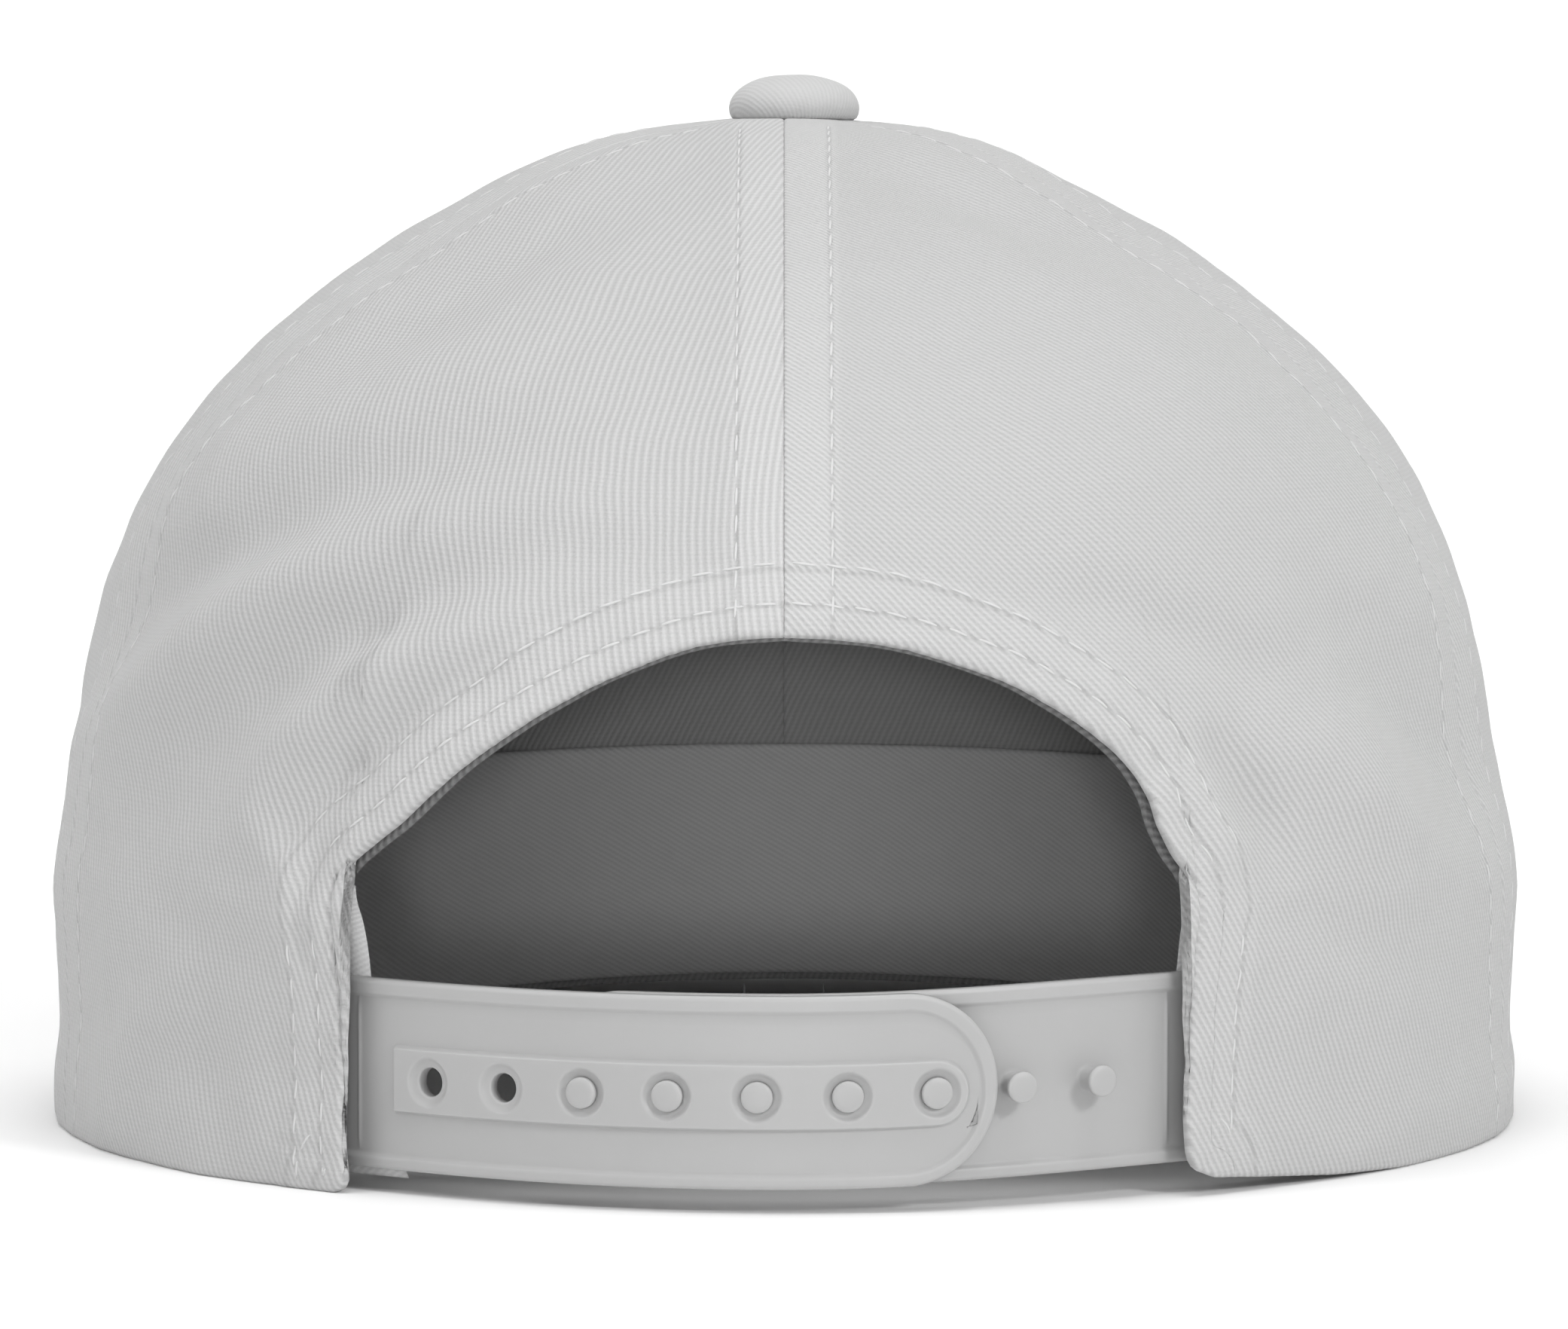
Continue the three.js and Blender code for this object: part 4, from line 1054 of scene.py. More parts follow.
@dataclass
class Lining:
    """The sweatband and the arch's facing tape."""

    form: CrownForm
    band_low: float = 1.2
    band_top: float = 34.4
    band_thickness: float = 1.4
    band_inset: float = 2.55
    over_strap: float = 6.2
    left_ends: tuple[float, float] = (31.4, 37.4)
    right_ends: tuple[float, float] = (30.4, 35.1)
    tape_thickness: float = 1.0
    tape_width: float = 8.2
    tape_setback: float = 0.5
    tape_inset: float = 2.9
    tape_end_row: float = 9.05
    columns: int = 260

    def band_edge(self, height: float, left: float, right: float) -> tuple[Array, Array]:
        """Azimuths and levels of one long edge of the sweatband, round by the front."""
        azimuth = np.linspace(left, 360 - right, self.columns)
        lift = self.form.rim_height(azimuth) * (1.0 if height < 10 else 0.4)
        return azimuth, self.form.level_at(height + lift)

    def build(self, finish: bpy.types.Material, tape_finish_painted_shade: bpy.types.Material) -> None:
        """Makes both strips."""
        low = self.band_edge(self.band_low, self.left_ends[0], self.right_ends[0])
        top = self.band_edge(self.band_top, self.left_ends[1], self.right_ends[1])
        away = np.abs((low[0] + 540) % 360 - 180)
        clear = self.form.opening_left + 9
        inset = mix(self.over_strap, self.band_inset, smooth(away, clear, clear + 18))
        band = InnerStrip(self.form, self.band_thickness)
        # The band's light finish is painted light on the hollow seen through the opening.
        band.build("look_sweatband", low, top, inset, 26, finish)
        left = self.form.opening_edge(Side.LEFT, 0, self.tape_end_row, 160)
        right = self.form.opening_edge(Side.RIGHT, 0, self.tape_end_row, 160)
        whole = (np.concatenate([right[0][:0:-1], left[0]]), np.concatenate([right[1][:0:-1], left[1]]))
        path = spaced(*whole, self.form, np.linspace(0, 1, self.columns))
        lower = self.form.inset(*path, self.tape_setback)
        upper = self.form.inset(*path, self.tape_setback + self.tape_width)
        inset = np.full(self.columns, self.tape_inset)
        # The tape's dark finish is painted shade under the opening's rolled edge.
        InnerStrip(self.form, self.tape_thickness).build(
            "look_arch_tape", lower, upper, inset, 10, tape_finish_painted_shade
        )


@dataclass
class SnapStrap:
    """Sizes of the snap strap, whose halves are worked out flat and bent round the head's curve.

    Flat coordinates are arc length from the centre to the left, height over the lower edge, and
    depth outwards from the back face.
    """

    form: CrownForm
    height: float = 20.8
    low: float = 2.6
    right_lift: float = 0.8
    plate: float = 1.2
    end_radius: float = 10.4
    pitch: float = 9.7
    count: int = 7
    closed: int = 5
    end_margin: float = 7.0
    first_from_tab: float = 10.18
    snap_line: float = 10.0
    band_height: float = 7.4
    band_rise: float = 0.7
    band_margin: float = 5.1
    last_cell: float = 4.0
    dish: float = 2.6
    recess_depth: float = 0.2
    hole: float = 1.6
    neck: float = 1.25
    head: float = 1.7
    head_thickness: float = 0.8
    bead: float = 1.3
    top_bead: float = 1.7
    bead_rise: float = 0.4
    edge_width: float = 0.4
    edge_drop: float = 0.35
    tuck: float = 9.5
    tuck_left: float = 4.4
    tucked: float = 40.0
    lap: float = 2.3

    def plan(self, azimuth: Array) -> Array:
        """Plan of the outer face: an ellipse, drawn in under the tabs."""
        deepest = np.where(azimuth > 0, self.tuck_left, self.tuck_left - self.lap)
        inwards = deepest * smooth(np.abs(azimuth), 0, self.tucked)
        angle = np.radians(azimuth)
        half_width, half_length = self.form.half_width - inwards, self.form.half_length - inwards
        return joined(half_width * np.sin(angle), half_length * np.cos(angle))

    def arcs(self) -> tuple[Array, Array]:
        """Arc lengths and the azimuths that they fall at, through the centre."""
        azimuth = np.arange(-50, 50.01, 0.25)
        reach = lengths(self.plan(azimuth))
        return reach - np.interp(0, azimuth, reach), azimuth

    def bend(self, flat: Array, back: float) -> Array:
        """Bends flat points round the plan, with the back face at a depth under the outer face."""
        arcs, azimuths = self.arcs()
        azimuth = np.interp(flat[..., 0], arcs, azimuths)
        here = self.plan(azimuth)
        along = unit_rows(self.plan(azimuth + 0.5) - here)
        depth = (back - flat[..., 2])[..., None]
        outwards = joined(-along[..., 1], along[..., 0])
        plan = here - outwards * depth
        lift = self.right_lift * smooth(-flat[..., 0], 0, 45)
        return np.concatenate([plan, (self.low + flat[..., 1] + lift)[..., None]], axis=-1)

    def tab_arc(self, angle: float) -> float:
        """Arc length at a tab's edge on the left half, for either tab's angle."""
        arcs, azimuths = self.arcs()
        return float(np.interp(angle, azimuths, arcs))

    def snap_arcs(self) -> Array:
        """Arc lengths of the holes, from the left."""
        first = self.tab_arc(self.form.opening_left) - self.first_from_tab
        return first - self.pitch * np.arange(self.count)


@dataclass
class StrapHalf:
    """The mesh of one strap half.

    Its face is a track of rows that follow the outline inwards, a core of plain cells along the
    snap line, and a ring of cells round each snap.
    """

    strap: SnapStrap
    snaps: Array
    tip_side: float
    tuck_end: float
    back: float
    has_holes: bool
    along: int = 18
    across: int = 14
    core_half: float = 3.2
    rib_height: float = 0.14
    rib_width: float = 0.22
    edge_rows: tuple[float, ...] = (
        0.0, 0.04, 0.1, 0.18, 0.28, 0.4, 0.6, 0.9, 1.2, 1.32, 1.42, 1.52, 1.62, 1.72, 1.84, 1.96, 2.1,
    )
    shoulder_rows: tuple[float, ...] = (0.74, 0.66, 0.58, 0.5, 0.42, 0.34, 0.26, 0.18, 0.09, 0.0)
    ring_radii: tuple[float, ...] = (4.4, 4.15, 4.0, 3.9, 3.8, 3.7, 3.6, 3.5, 3.4, 3.25, 3.1, 2.95)

    def end_centre(self) -> float:
        """Arc length of the round end's centre."""
        last = self.snaps[-1] if self.tip_side < 0 else self.snaps[0]
        return float(last + self.tip_side * (self.strap.end_margin - self.strap.end_radius))

    def edge_distance(self, points: Array) -> Array:
        """Distance inwards from the outline of the round-ended bar."""
        middle = self.strap.height / 2
        past = np.maximum((points[..., 0] - self.end_centre()) * self.tip_side, 0)
        return middle - np.hypot(past, points[..., 1] - middle)

    def face(self, points: Array) -> Array:
        """Flat points with the height of the outer face: the plate, a rounded bead along its
        edge, a band with soft shoulders round the holes, and a fine rib beside the tab."""
        strap = self.strap
        edge = self.edge_distance(points)
        wide = mix(strap.bead, strap.top_bead, smooth(points[..., 1], 4, 17))
        bead = 1 - smooth(edge - wide, -0.2, 0.5)
        slope = 1 - np.sqrt(np.clip(edge / strap.edge_width, 0, 1))
        height = strap.plate + strap.bead_rise * bead - strap.edge_drop * slope
        if self.has_holes:
            half = strap.band_height / 2
            past = np.maximum(self.snaps[-1] - points[..., 0], 0)
            inside = half - np.hypot(past, points[..., 1] - strap.snap_line)
            inside = np.minimum(inside, self.snaps[0] + strap.band_margin - points[..., 0])
            band = strap.plate + strap.band_rise * smooth(inside, -0.1, 0.34)
            height = np.maximum(height, band)
        rib = np.abs(points[..., 0] - self.rib_arc())
        height = height + self.rib_height * bell(rib, self.rib_width) * smooth(edge, 2.0, 2.4)
        return np.concatenate([points[..., :2], height[..., None]], axis=-1)

    def rib_arc(self) -> float:
        """Arc length of the rib beside this half's tab."""
        form = self.strap.form
        angle = form.opening_left if self.tip_side < 0 else form.opening_right
        inwards = -0.3 if self.has_holes else 0.1
        return -self.tip_side * (self.strap.tab_arc(angle) - inwards)

    def columns(self) -> tuple[Array, int]:
        """Arc lengths of the columns from the tucked end to the tip, and where the cells begin."""
        strap, away = self.strap, -self.tip_side
        half = strap.pitch / 2
        near = self.snaps[0] if self.tip_side < 0 else self.snaps[-1]
        margin = strap.band_margin
        start = near + away * (margin - 0.75 if self.has_holes else half)
        steps = [0.45, 0.15, 0.05, -0.03, -0.11, -0.19, -0.27, -0.35, -0.45, -0.6]
        shoulder = near + away * (margin + np.array(steps))
        shoulder = shoulder if self.has_holes else np.array([start + away * 0.4])
        rib = self.rib_arc() + away * np.array([0.6, 0.4, 0.25, 0.12, 0.0, -0.12, -0.25, -0.4, -0.6])
        tucked = np.linspace(self.tuck_end, rib[0], 7)[:-1]
        between = np.linspace(rib[-1], shoulder[0], 5)[1:-1]
        cells = [np.linspace(start, near - away * half, self.along + 1)]
        for k in range(1, strap.count):
            first = near - away * (half + (k - 1) * strap.pitch)
            reach = half + strap.last_cell if k == strap.count - 1 else strap.pitch
            cells.append(np.linspace(first, first - away * reach, self.along + 1)[1:])
        lead = np.concatenate([tucked, rib, between, shoulder])
        return np.concatenate([lead, np.concatenate(cells)]), len(lead)

    def track(self, core: Array) -> Array:
        """Rows from the outline in to the core's border, in the order of the border.

        Args:
            core: the core's grid of flat points, from the tucked end to the tip.

        Returns:
            Flat points, a row of them for each border point.
        """
        border = np.concatenate([core[:, 0], core[-1, 1:-1], core[::-1, -1]])
        centre, radius = self.end_centre(), self.strap.end_radius
        middle = self.strap.height / 2
        past = (core[:, 0, 0] - centre) * self.tip_side
        count = int((past > 0).sum())
        total = len(core)
        reach = lengths(border)
        first, last = total - count, total + self.across - 2 + count
        share = (reach - reach[first - 1]) / (reach[last + 1] - reach[first - 1])
        angle = np.clip(share, 0, 1) * np.pi
        round_x = centre + self.tip_side * radius * np.sin(angle)
        outline = joined(round_x, middle - radius * np.cos(angle))
        inwards = joined(-self.tip_side * np.sin(angle), np.cos(angle))
        straight = np.ones(len(border), bool)
        straight[first : last + 1] = False
        outline[straight, 0] = border[straight, 0]
        near = outline[:, None] + inwards[:, None] * np.array(self.edge_rows)[None, :, None]
        out = near[:, -1] - border
        length = np.linalg.norm(out, axis=-1, keepdims=True)
        far_rows = np.array(self.shoulder_rows)
        coarse = np.linspace(1, far_rows[0] / length[:, 0], 5)[1:-1].T
        shares = np.concatenate([coarse, far_rows[None] / length], axis=1)
        far = border[:, None] + out[:, None] * shares[..., None]
        return np.concatenate([near, far], axis=1)

    def rings(self, centre: Array, border: Array, profile: Array) -> Array:
        """Rings from a cell's border in to a snap, at set radii where the cell reaches them."""
        offset = border - centre
        distance = np.linalg.norm(offset, axis=-1)
        unit = offset / distance[:, None]
        shares = np.linspace(0, 1, len(self.ring_radii) + 2)[1:-1]
        rings = [self.face(border)]
        for share, limit in zip(shares, self.ring_radii):
            radius = np.minimum(limit, mix(distance, profile[0, 0], share))
            rings.append(self.face(centre + unit * radius[:, None]))
        for radius, height in profile:
            place = centre + unit * radius
            rings.append(np.concatenate([place, np.full((len(place), 1), height)], axis=-1))
        return np.stack(rings)

    def profile(self) -> Array:
        """Radius and height pairs from the face in: a dish down to the hole, or a headed peg."""
        strap = self.strap
        face = strap.plate
        if self.has_holes:
            top = face + strap.band_rise
            dish = [(0.25, 0.0), (0.12, 0.03), (0.0, 0.1), (-0.13, 0.22), (-0.28, 0.34)]
            dish += [(-0.48, 0.44), (-0.7, 0.51), (-0.95, 0.56)]
            rows = [[strap.dish + out, top - down] for out, down in dish]
            hole = [[strap.hole, top - 0.66], [strap.hole, 0.6], [strap.hole, 0.08]]
            return np.array(rows + hole + [[strap.hole + 0.08, 0.0]])
        under = face + strap.lap - strap.recess_depth + 0.3
        over = under + strap.head_thickness
        return np.array(
            [
                [strap.neck + 0.6, face], [strap.neck + 0.3, face + 0.02],
                [strap.neck + 0.1, face + 0.1], [strap.neck, face + 0.3], [strap.neck, under - 0.1],
                [strap.neck + 0.1, under], [strap.head - 0.1, under + 0.02], [strap.head, under + 0.12],
                [strap.head, over - 0.22], [strap.head - 0.06, over - 0.1], [strap.head - 0.2, over],
                [strap.head - 0.6, over + 0.06], [strap.head - 1.2, over + 0.1], [0.02, over + 0.1],
            ]
        )

    def cell_border(self, grid: Array, first: int) -> Array:
        """Border of the cell that begins at a column, once round it."""
        last = first + self.along
        return np.concatenate(
            [grid[first:last, 0], grid[last, :-1], grid[last:first:-1, -1], grid[first, :0:-1]]
        )

    def build(self, name: str, finish: bpy.types.Material) -> bpy.types.Object:
        """Joins the track, the core, the snap rings, the back face and the wall, and bends them."""
        strap = self.strap
        columns, lead = self.columns()
        heights = strap.snap_line + np.linspace(-self.core_half, self.core_half, self.across + 1)
        core = np.stack(np.meshgrid(columns, heights, indexing="ij"), axis=-1)
        track = self.track(core)
        plain = quads(lead + 1, self.across + 1)
        patches: list[tuple[Array, Array]] = []
        order = self.snaps if self.tip_side < 0 else self.snaps[::-1]
        for is_front in (True, False):
            lift = self.face if is_front else flat_back
            rows = lift(track)
            patches.append((rows.reshape(-1, 3), quads(*rows.shape[:2])))
            patches.append((lift(core[: lead + 1]).reshape(-1, 3), plain))
            for k, arc in enumerate(order):
                border = self.cell_border(core, lead + k * self.along)
                centre = np.array([arc, strap.snap_line])
                rings = self.rings(centre, border, self.profile())
                if not is_front:
                    middle = flat_back(centre + 0.02 * unit_rows(border - centre))
                    inner = rings[-1] if self.has_holes else middle
                    rings = np.stack([mix(flat_back(border), inner, s) for s in (0.0, 0.5, 1.0)])
                closed = np.concatenate([rings, rings[:, :1]], axis=1)
                patches.append((closed.reshape(-1, 3), quads(*closed.shape[:2])))
                if not self.has_holes:
                    patches.append(disc_cap(rings[-1]))
        loop = np.concatenate([track[:, 0], track[-1, 1:], core[0, -2:0:-1], track[0, ::-1]])
        wall = np.stack([mix(self.face(loop), flat_back(loop), s) for s in (0.0, 0.5, 1.0)])
        patches.append((wall.reshape(-1, 3), quads(*wall.shape[:2])))
        points, faces = weld(patches)
        made = make_object(
            name, strap.bend(points, self.back), faces, finish, (name[5:],)
        )
        close_mesh(made, has_poles=False)
        return made


def flat_back(points: Array) -> Array:
    """Flat points on the back face, at height 0."""
    return np.concatenate([points[..., :2], np.zeros(points.shape[:-1] + (1,))], axis=-1)


def disc_cap(ring: Array) -> tuple[Array, Array]:
    """Quads from a small ring to its centre, to close a peg's face or back."""
    centre = ring.mean(axis=0)
    count = len(ring)
    index = np.arange(0, count, 2)
    faces = joined(index, index + 1, (index + 2) % count, np.full(len(index), count))
    return np.concatenate([ring, centre[None]]), faces


def weld(patches: list[tuple[Array, Array]]) -> tuple[Array, Array]:
    """Joins patches into one mesh and merges points that share a place.

    Args:
        patches: points and faces of each patch.

    Returns:
        The joined points and faces.
    """
    points, faces, total = [], [], 0
    for patch_points, patch_faces in patches:
        points.append(patch_points)
        faces.append(patch_faces + total)
        total += len(patch_points)
    stacked = np.concatenate(points)
    _, keep, inverse = np.unique(np.round(stacked, 3), axis=0, return_index=True, return_inverse=True)
    return stacked[keep], inverse.reshape(-1)[np.concatenate(faces)]


def close_mesh(piece: bpy.types.Object, has_poles: bool) -> None:
    """Fills the small rings at a turned shape's poles, or else dissolves faces that the weld
    closed up, and turns all faces outwards."""
    work = bmesh.new()
    work.from_mesh(piece.data)
    if has_poles:
        bmesh.ops.holes_fill(work, edges=[e for e in work.edges if e.is_boundary])
    else:
        bmesh.ops.dissolve_degenerate(work, dist=1e-7, edges=work.edges)
    bmesh.ops.recalc_face_normals(work, faces=work.faces)
    work.to_mesh(piece.data)
    work.free()


@dataclass
class TopButton:
    """The covered button: a pressed dome with cloth drawn over it."""

    radius: float = 7.7
    rise: float = 4.6
    base: float = 117.78
    shank: float = 3.1
    shank_length: float = 5.0
    offset: float = 1.2
    skirt: float = 0.75
    edge_height: float = 1.3
    plan_power: float = 2.25
    rise_power: float = 2.1
    gathers: int = 14
    gather_depth: float = 0.006

    def build(self, finish: bpy.types.Material) -> bpy.types.Object:
        """Turns a rounded profile: the radius is a cosine and the height a sine, each to a power
        just under 1, with small gathers under the edge."""
        t = np.linspace(0, np.pi / 2, 40)
        radius = self.radius * np.abs(np.cos(t)) ** (2 / self.plan_power)
        low = self.base - self.skirt
        edge = self.edge_height
        dome = self.base + self.rise - low - edge
        height = low + edge + dome * np.sin(t) ** (2 / self.rise_power)
        under = np.array(
            [
                [0.05, self.base - self.shank_length],
                [self.shank, self.base - self.shank_length],
                [self.shank, low - 0.1],
                [self.shank + 0.2, low + 0.1],
                [self.radius - 1.4, low + 0.1],
                [self.radius - 0.7, low],
                [self.radius - 0.32, low + 0.25],
                [self.radius - 0.1, low + 0.7],
            ]
        )
        profile = np.concatenate([under, joined(np.maximum(radius, 0.05), height)])
        angle = np.linspace(0, 2 * np.pi, 97)[:-1]
        low_down = smooth(self.base + 1.6 - profile[:, 1], 0, 2)[:, None]
        gather = 1 + self.gather_depth * np.sin(self.gathers * angle)[None] * low_down
        spread = profile[:, 0][:, None] * gather
        heights = np.broadcast_to(profile[:, 1][:, None], spread.shape)
        points = joined(spread * np.sin(angle) - self.offset, spread * np.cos(angle), heights)
        points[..., 2] += 0.05 * ripple(points, 5, 71)
        flat = points.reshape(-1, 3)
        weave = flat[:, :2] * (1 + 0.02 * (self.base + self.rise - flat[:, 2:3]) ** 2)
        faces = facing_out(flat, quads(*points.shape[:2], closes=True))
        made = make_object(
            "look_top_button", flat, faces, finish, ("top_button",), weave
        )
        close_mesh(made, has_poles=True)
        return made


@dataclass
class Visor:
    """The stiff visor: cloth over a board, with rows of stitching round it."""

    form: CrownForm
    thickness: float = 3.4
    length: float = 71.0
    corner_azimuth: float = 62.0
    overhang: float = 2.3
    clearance: float = 0.8
    row_depth: float = 0.13
    row_width: float = 0.6
    edge_round: float = 1.5
    unevenness: float = 0.05
    rows: tuple[float, ...] = (3.0, 9.5, 16.0, 22.5, 29.0, 35.5, 42.0, 48.5)
    # Columns: station, x share of the half width, reach share towards the front.
    edge: Array = table(
        [0, 0.0, 1.0], [0.18, 0.32, 0.988], [0.36, 0.605, 0.935], [0.54, 0.835, 0.82],
        [0.7, 0.962, 0.649], [0.84, 0.998, 0.445], [0.94, 0.962, 0.241],
    )

    def underside(self, x: Array) -> Array:
        """Height of the underside: a parabola across the visor."""
        span = self.form.visor_half_width
        return self.form.visor_camber * np.maximum(0, 1 - (x / span) ** 2)

    def inner(self, share: Array, out: float = 0.0) -> Array:
        """Points of the inner edge, just outside the crown."""
        azimuth = 180 - share * self.corner_azimuth
        corner = self.form.half_width * np.sin(np.radians(self.corner_azimuth))
        level = self.form.level_at(2 + self.underside(corner * np.abs(share)))
        normal = self.form.normal(azimuth, np.zeros_like(azimuth))
        return self.form.base(azimuth, level) + normal * (self.clearance + out)

    def outer(self, share: Array) -> Array:
        """Plan of the outer edge: a smooth curve through the table's rows and the corner."""
        corner = self.inner(np.array([1.0]), self.overhang)[0]
        front = -self.form.half_length - self.length
        x = np.append(self.edge[:, 1] * self.form.visor_half_width, corner[0])
        y = np.append(mix(corner[1], front, self.edge[:, 2]), corner[1])
        stations = np.append(self.edge[:, 0], 1.0)
        row = np.interp(np.abs(share), stations, np.arange(len(stations)))
        return joined(np.sign(share) * curve_at(x, row), curve_at(y, row))

    def middle_plane(self, share: Array, reach: Array) -> Array:
        """Points of the board's middle, with reach 0 at the crown and 1 at the edge."""
        inner, outer = self.inner(share), self.outer(share)
        x = mix(inner[..., 0], outer[..., 0], reach)
        y = mix(inner[..., 1], outer[..., 1], reach)
        return joined(x, y, self.underside(x) + self.thickness / 2)

    def edge_away(self, points: Array, outline: Array) -> Array:
        """Distance in plan from the outer edge."""
        flat = points * [1, 1, 0]
        return nearest(flat, outline)[0]

    def build(self, finish: bpy.types.Material, stitching: Stitching) -> bpy.types.Object:
        """Makes the visor's mesh and sews its rows."""
        shares = np.linspace(-1, 1, 181)
        reach = 1 - (1 - finer_ends(68, 60.0, (0.0, 0.1, 0.3, 0.6, 1.0))) ** 1.25
        grid_share = shares[:, None] + 0 * reach[None]
        middle = self.middle_plane(grid_share, reach[None] + 0 * shares[:, None])
        outline = np.concatenate([self.outer(np.linspace(-1, 1, 900)), np.zeros((900, 1))], axis=-1)
        away = self.edge_away(middle, outline)
        rolled = Panel.rolled_depth(away, self.edge_round)
        fine = self.unevenness * ripple(middle, 16, 81)
        for row in self.rows:
            fine -= self.row_depth * bell(away - row, self.row_width)
        lip = 0.25 * (1 - smooth(away, 3.6, 4.2))
        up = (self.thickness / 2 + fine + lip * 0.4 - rolled)[..., None] * np.array([0, 0, 1.0])
        down = (self.thickness / 2 + fine - rolled)[..., None] * np.array([0, 0, 1.0])
        points, faces = shell(middle + up, middle - down)
        points[:, 2] = np.maximum(points[:, 2], 0.02)
        plan = middle[..., :2].reshape(-1, 2)
        weave = np.concatenate([plan * [-1, -1], plan * [1, -1]])
        made = make_object("look_visor", points, faces, finish, ("visor",), weave)
        for row in self.rows:
            self.sew_row(row, outline, stitching)
        return made

    def sew_row(self, row: float, outline: Array, stitching: Stitching) -> None:
        """One row at a distance from the outer edge, on the upper and the lower face."""
        share = np.linspace(-1, 1, 1201)
        reach = np.linspace(0.0, 1.0, 241)
        grid = self.middle_plane(share[::6, None] + 0 * reach[None], reach[None] + 0 * share[::6, None])
        away = self.edge_away(grid, outline)
        off = {"left": np.nan, "right": np.nan}
        found = np.array([np.interp(row, a[::-1], reach[::-1], **off) for a in away])
        good = ~np.isnan(found) & (found > 0.03)
        if good.sum() < 8:
            return
        line = self.middle_plane(share[::6][good], found[good])
        for turn in (1.0, -1.0):
            lifted = line + np.array([0, 0, turn * (self.thickness / 2 - 0.1)])
            normals = np.tile([0.0, 0.0, turn], (len(lifted), 1))
            stitching.row(lifted, normals)


@dataclass
class Studio:
    """A pale swept floor, soft lights and the camera at the photograph's angle."""

    distance: float = 1.0
    camera_height: float = 0.11747
    pitch: float = 0.064815
    focal_pixels: float = 11213.6
    frame_width: float = 2082.0
    sensor_width: float = 36.0
    world_strength: float = 0.5
    sweep_start: float = 1400.0
    sweep_width: float = 1200.0
    sweep_height: float = 1500.0
    beam_power: float = 18.0
    beam_angle: float = 5.2
    beam_size: float = 0.06
    beam_place: tuple[float, float, float] = (0.0, 1.45, 0.13)
    beam_target: tuple[float, float, float] = (0.0, 0.0, 0.036)

    def camera(self) -> None:
        """Camera behind the cap: lens = sensor width x focal pixels / frame width."""
        data = bpy.data.cameras.new("camera")
        data.sensor_width = self.sensor_width
        data.lens = self.sensor_width * self.focal_pixels / self.frame_width
        data.clip_start = 0.01
        made = into_scene("camera", data)
        made.location = (0.0, self.distance, self.camera_height)
        look = Vector((0.0, -math.cos(self.pitch), -math.sin(self.pitch)))
        made.rotation_euler = look.to_track_quat("-Z", "Y").to_euler()
        bpy.context.scene.camera = made

    def floor(self) -> None:
        """A floor that sweeps up on all sides: height grows with the distance past a circle."""
        angle = np.linspace(0, 2 * np.pi, 97)
        radius = np.concatenate([[0.01, 300, 700, 1100], np.linspace(1200, 2600, 30)])
        past = np.clip((radius - self.sweep_start) / self.sweep_width, 0, 1)
        height = self.sweep_height * past**2.2
        across, ahead = radius[:, None] * np.sin(angle)[None], radius[:, None] * np.cos(angle)[None]
        points = joined(across, ahead, np.broadcast_to(height[:, None], across.shape))
        mesh = bpy.data.meshes.new("floor")
        faces = quads(len(radius), len(angle))[:, ::-1]
        mesh.from_pydata((points.reshape(-1, 3) * MM).tolist(), [], faces.tolist())
        mesh.polygons.foreach_set("use_smooth", np.ones(len(mesh.polygons), dtype=bool))
        paint, tree = empty_material("pale_paper")
        matt = add_node(
            tree, "BsdfPrincipled", {}, {"Base Color": linear("#F6F6F6"), "Roughness": 0.9}
        )
        # The paper's back is left clear, so a low camera outside the sweep still sees the cap.
        clear = add_node(tree, "BsdfTransparent", {}, {})
        facing = add_node(tree, "NewGeometry", {}, {})
        shader = add_node(tree, "MixShader", {}, {0: facing.outputs["Backfacing"], 1: matt, 2: clear})
        add_node(tree, "OutputMaterial", {}, {0: shader})
        mesh.materials.append(paint)
        into_scene("floor", mesh)

    def lamp(
        self, name: str, place: tuple[float, float, float], size: float, power: float,
        target: tuple[float, float, float] = (0.0, 0.02, 0.06),
    ) -> None:
        """A square soft light.

        Args:
            name: the light's name.
            place: where it stands, in metres.
            size: its edge.
            power: its power in watts.
            target: the point that it faces.
        """
        data = bpy.data.lights.new(name, "AREA")
        data.size = size
        data.energy = power
        self.hang(data, place, target)

    def spot(self) -> None:
        """A narrow soft beam from behind the camera, through the opening, on the hollow."""
        data = bpy.data.lights.new("beam", "SPOT")
        data.energy = self.beam_power
        data.spot_size = math.radians(self.beam_angle)
        data.spot_blend = 1.0
        data.shadow_soft_size = self.beam_size
        self.hang(data, self.beam_place, self.beam_target)

    @staticmethod
    def hang(light: bpy.types.Light, place: tuple[float, ...], target: tuple[float, ...]) -> None:
        """Puts a light in its place and turns it to its target."""
        made = into_scene(light.name, light)
        made.location = place
        aim = Vector(target) - Vector(place)
        made.rotation_euler = aim.to_track_quat("-Z", "Y").to_euler()

    def build(self) -> None:
        """Sets up everything round the cap."""
        self.camera()
        self.floor()
        self.lamp("key", (-0.95, 1.2, 0.85), 0.3, 9.4)
        self.lamp("fill", (1.1, 0.5, 1.0), 0.6, 3.8)
        self.lamp("front", (0.0, 1.5, 0.25), 0.5, 1.0)
        self.spot()
        self.lamp("top", (0.0, 0.2, 1.5), 0.8, 9.0)
        self.lamp("backdrop", (0.0, -0.9, 1.3), 1.2, 12.0, (0.0, -2.0, 0.35))
        world = bpy.data.worlds.new("studio")
        world.use_nodes = True
        back = world.node_tree.nodes["Background"]
        back.inputs["Color"].default_value = linear("#FFFFFF")
        back.inputs["Strength"].default_value = self.world_strength
        bpy.context.scene.world = world
        bpy.context.scene.view_settings.view_transform = "Standard"


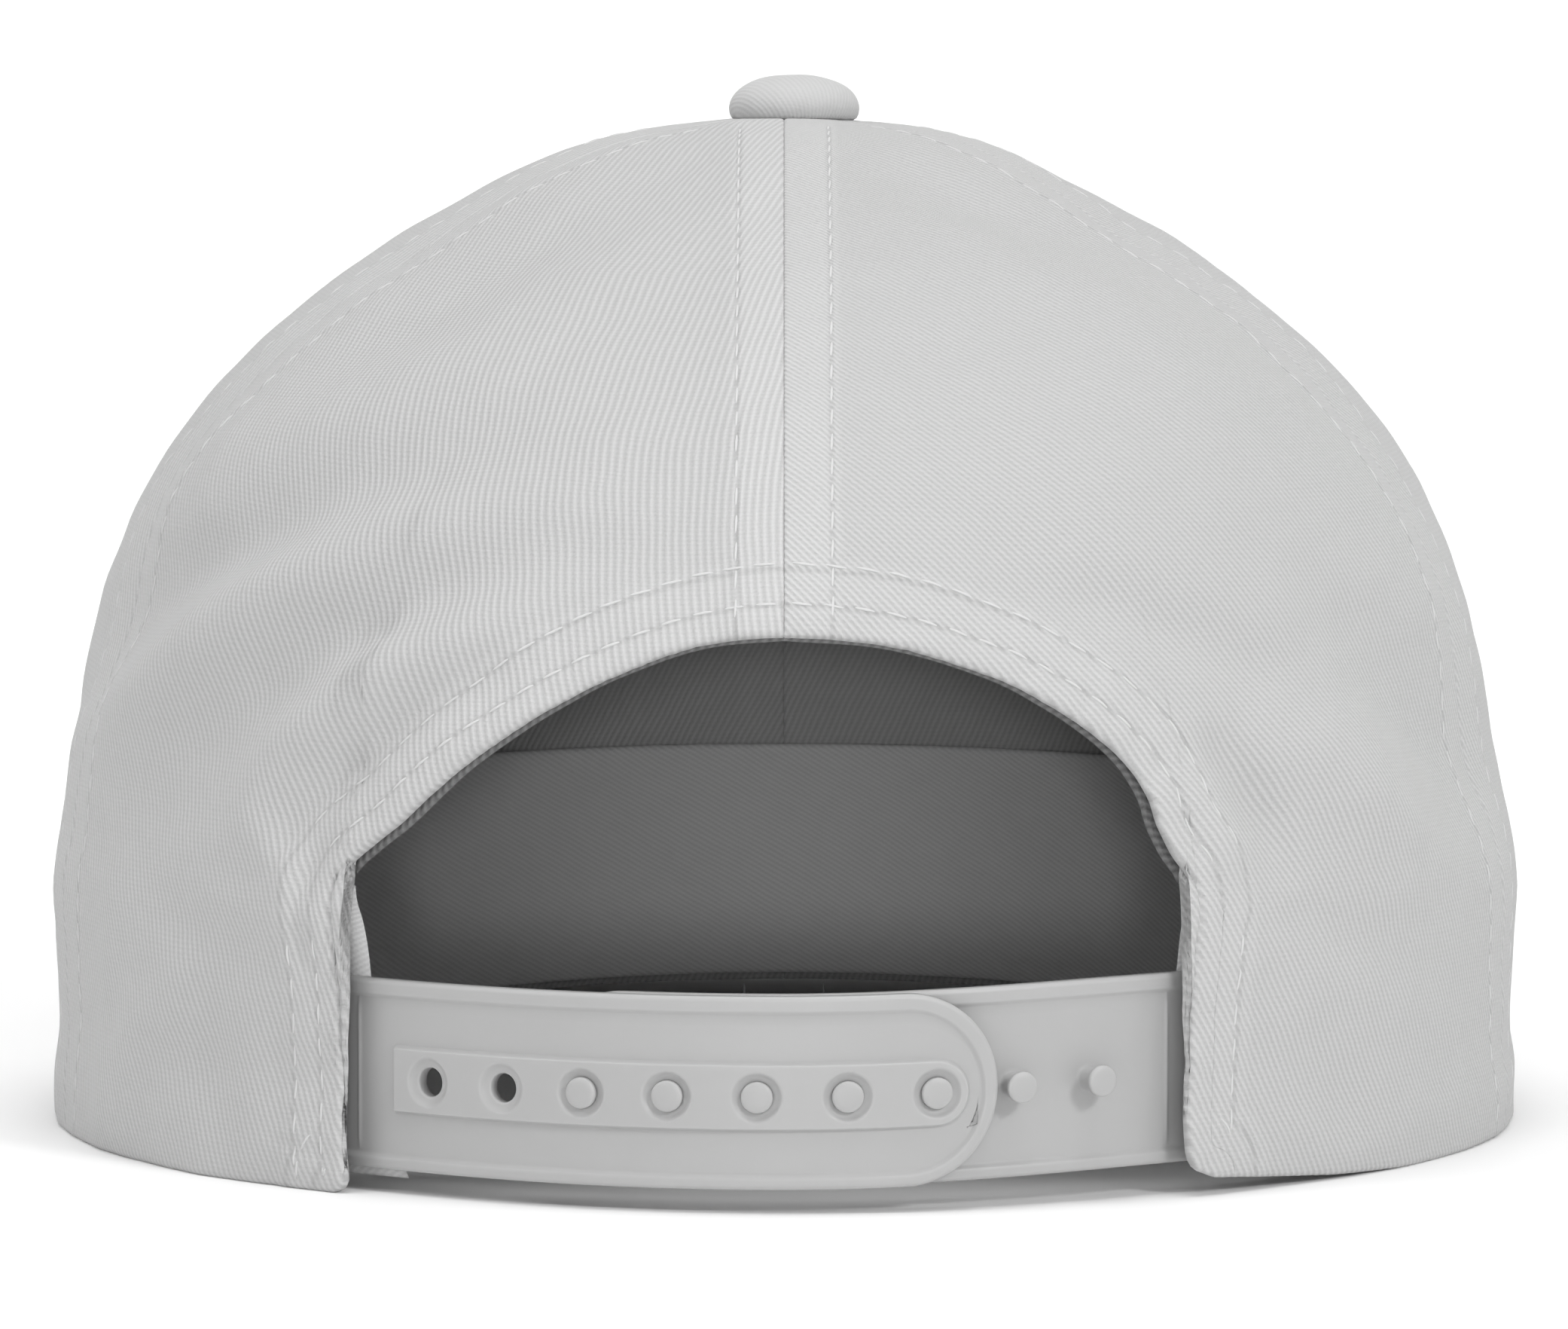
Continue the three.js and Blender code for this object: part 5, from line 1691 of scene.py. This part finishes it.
def main() -> None:
    """Builds the cap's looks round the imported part."""
    logging.basicConfig(level=logging.INFO, format="%(name)s: %(message)s")
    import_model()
    Studio().build()
    form = CrownForm()
    crown_cloth = CottonTwill("washed_cotton_twill", "#C5C5C5", "#A9A9A9").material()
    visor_cloth = CottonTwill("visor_cotton_twill", "#C6C6C6", "#ABABAB").material()
    button_cloth = CottonTwill(
        "button_cotton_twill", "#C0C0C0", "#B6B6B6", pitch=0.62, depth=0.07
    ).material()
    # Painted shade: the arch's tape is coloured far darker than the crown's cloth, standing in for the
    # shade under the opening's rolled edge.
    tape_cloth_painted_shade = CottonTwill(
        "tape_cotton_twill", "#8A8A8A", "#5E5E5E", pitch=0.9, lean=40.0, depth=0.2
    ).material()
    # Painted light: the sweatband is coloured lighter than the crown's cloth, so that the hollow seen
    # through the opening looks brightly lit.
    band_cloth_painted_light = CottonTwill(
        "band_cotton_twill", "#E6E6E6", "#D0D0D0", pitch=0.6, lean=62.0, depth=0.1
    ).material()
    thread = SewingThread("sewing_thread", "#C8C8C8").material()
    plastic = MouldedPlastic("moulded_polyethylene", "#ABABAB").material()
    panels: dict[str, Panel] = {}
    for side in Side:
        word = side.name.lower()
        panels["panel_back_" + word] = Panel(
            form, side, Seam.CENTRE_BACK, Seam.BACK_SIDE, has_opening=True, columns=200, rows=178
        )
        panels["panel_side_" + word] = Panel(form, side, Seam.BACK_SIDE, Seam.SIDE_FRONT)
        panels["panel_front_" + word] = Panel(form, side, Seam.SIDE_FRONT, Seam.CENTRE_FRONT)
    for name, panel in panels.items():
        panel.build("look_" + name, crown_cloth)
    crown_rows = Stitching(thread)
    CrownStitches(panels, crown_rows).sew()
    crown_rows.build("look_crown_stitches", "crown_cloth")
    Lining(form).build(band_cloth_painted_light, tape_cloth_painted_shade)
    strap = SnapStrap(form)
    holes = strap.snap_arcs()
    left_end = strap.tab_arc(form.opening_left) + strap.tuck
    right_end = -strap.tab_arc(form.opening_right) - strap.tuck
    StrapHalf(strap, holes, -1.0, left_end, strap.plate, True).build("look_strap_with_holes", plastic)
    pegs = holes[strap.count - strap.closed] - strap.pitch * np.arange(strap.count)
    StrapHalf(strap, pegs, 1.0, right_end, strap.plate + strap.lap, False).build(
        "look_strap_with_pegs", plastic
    )
    TopButton().build(button_cloth)
    visor_rows = Stitching(thread)
    Visor(form).build(visor_cloth, visor_rows)
    visor_rows.build("look_visor_stitches", "visor_cloth")


if __name__ == "__main__":
    main()
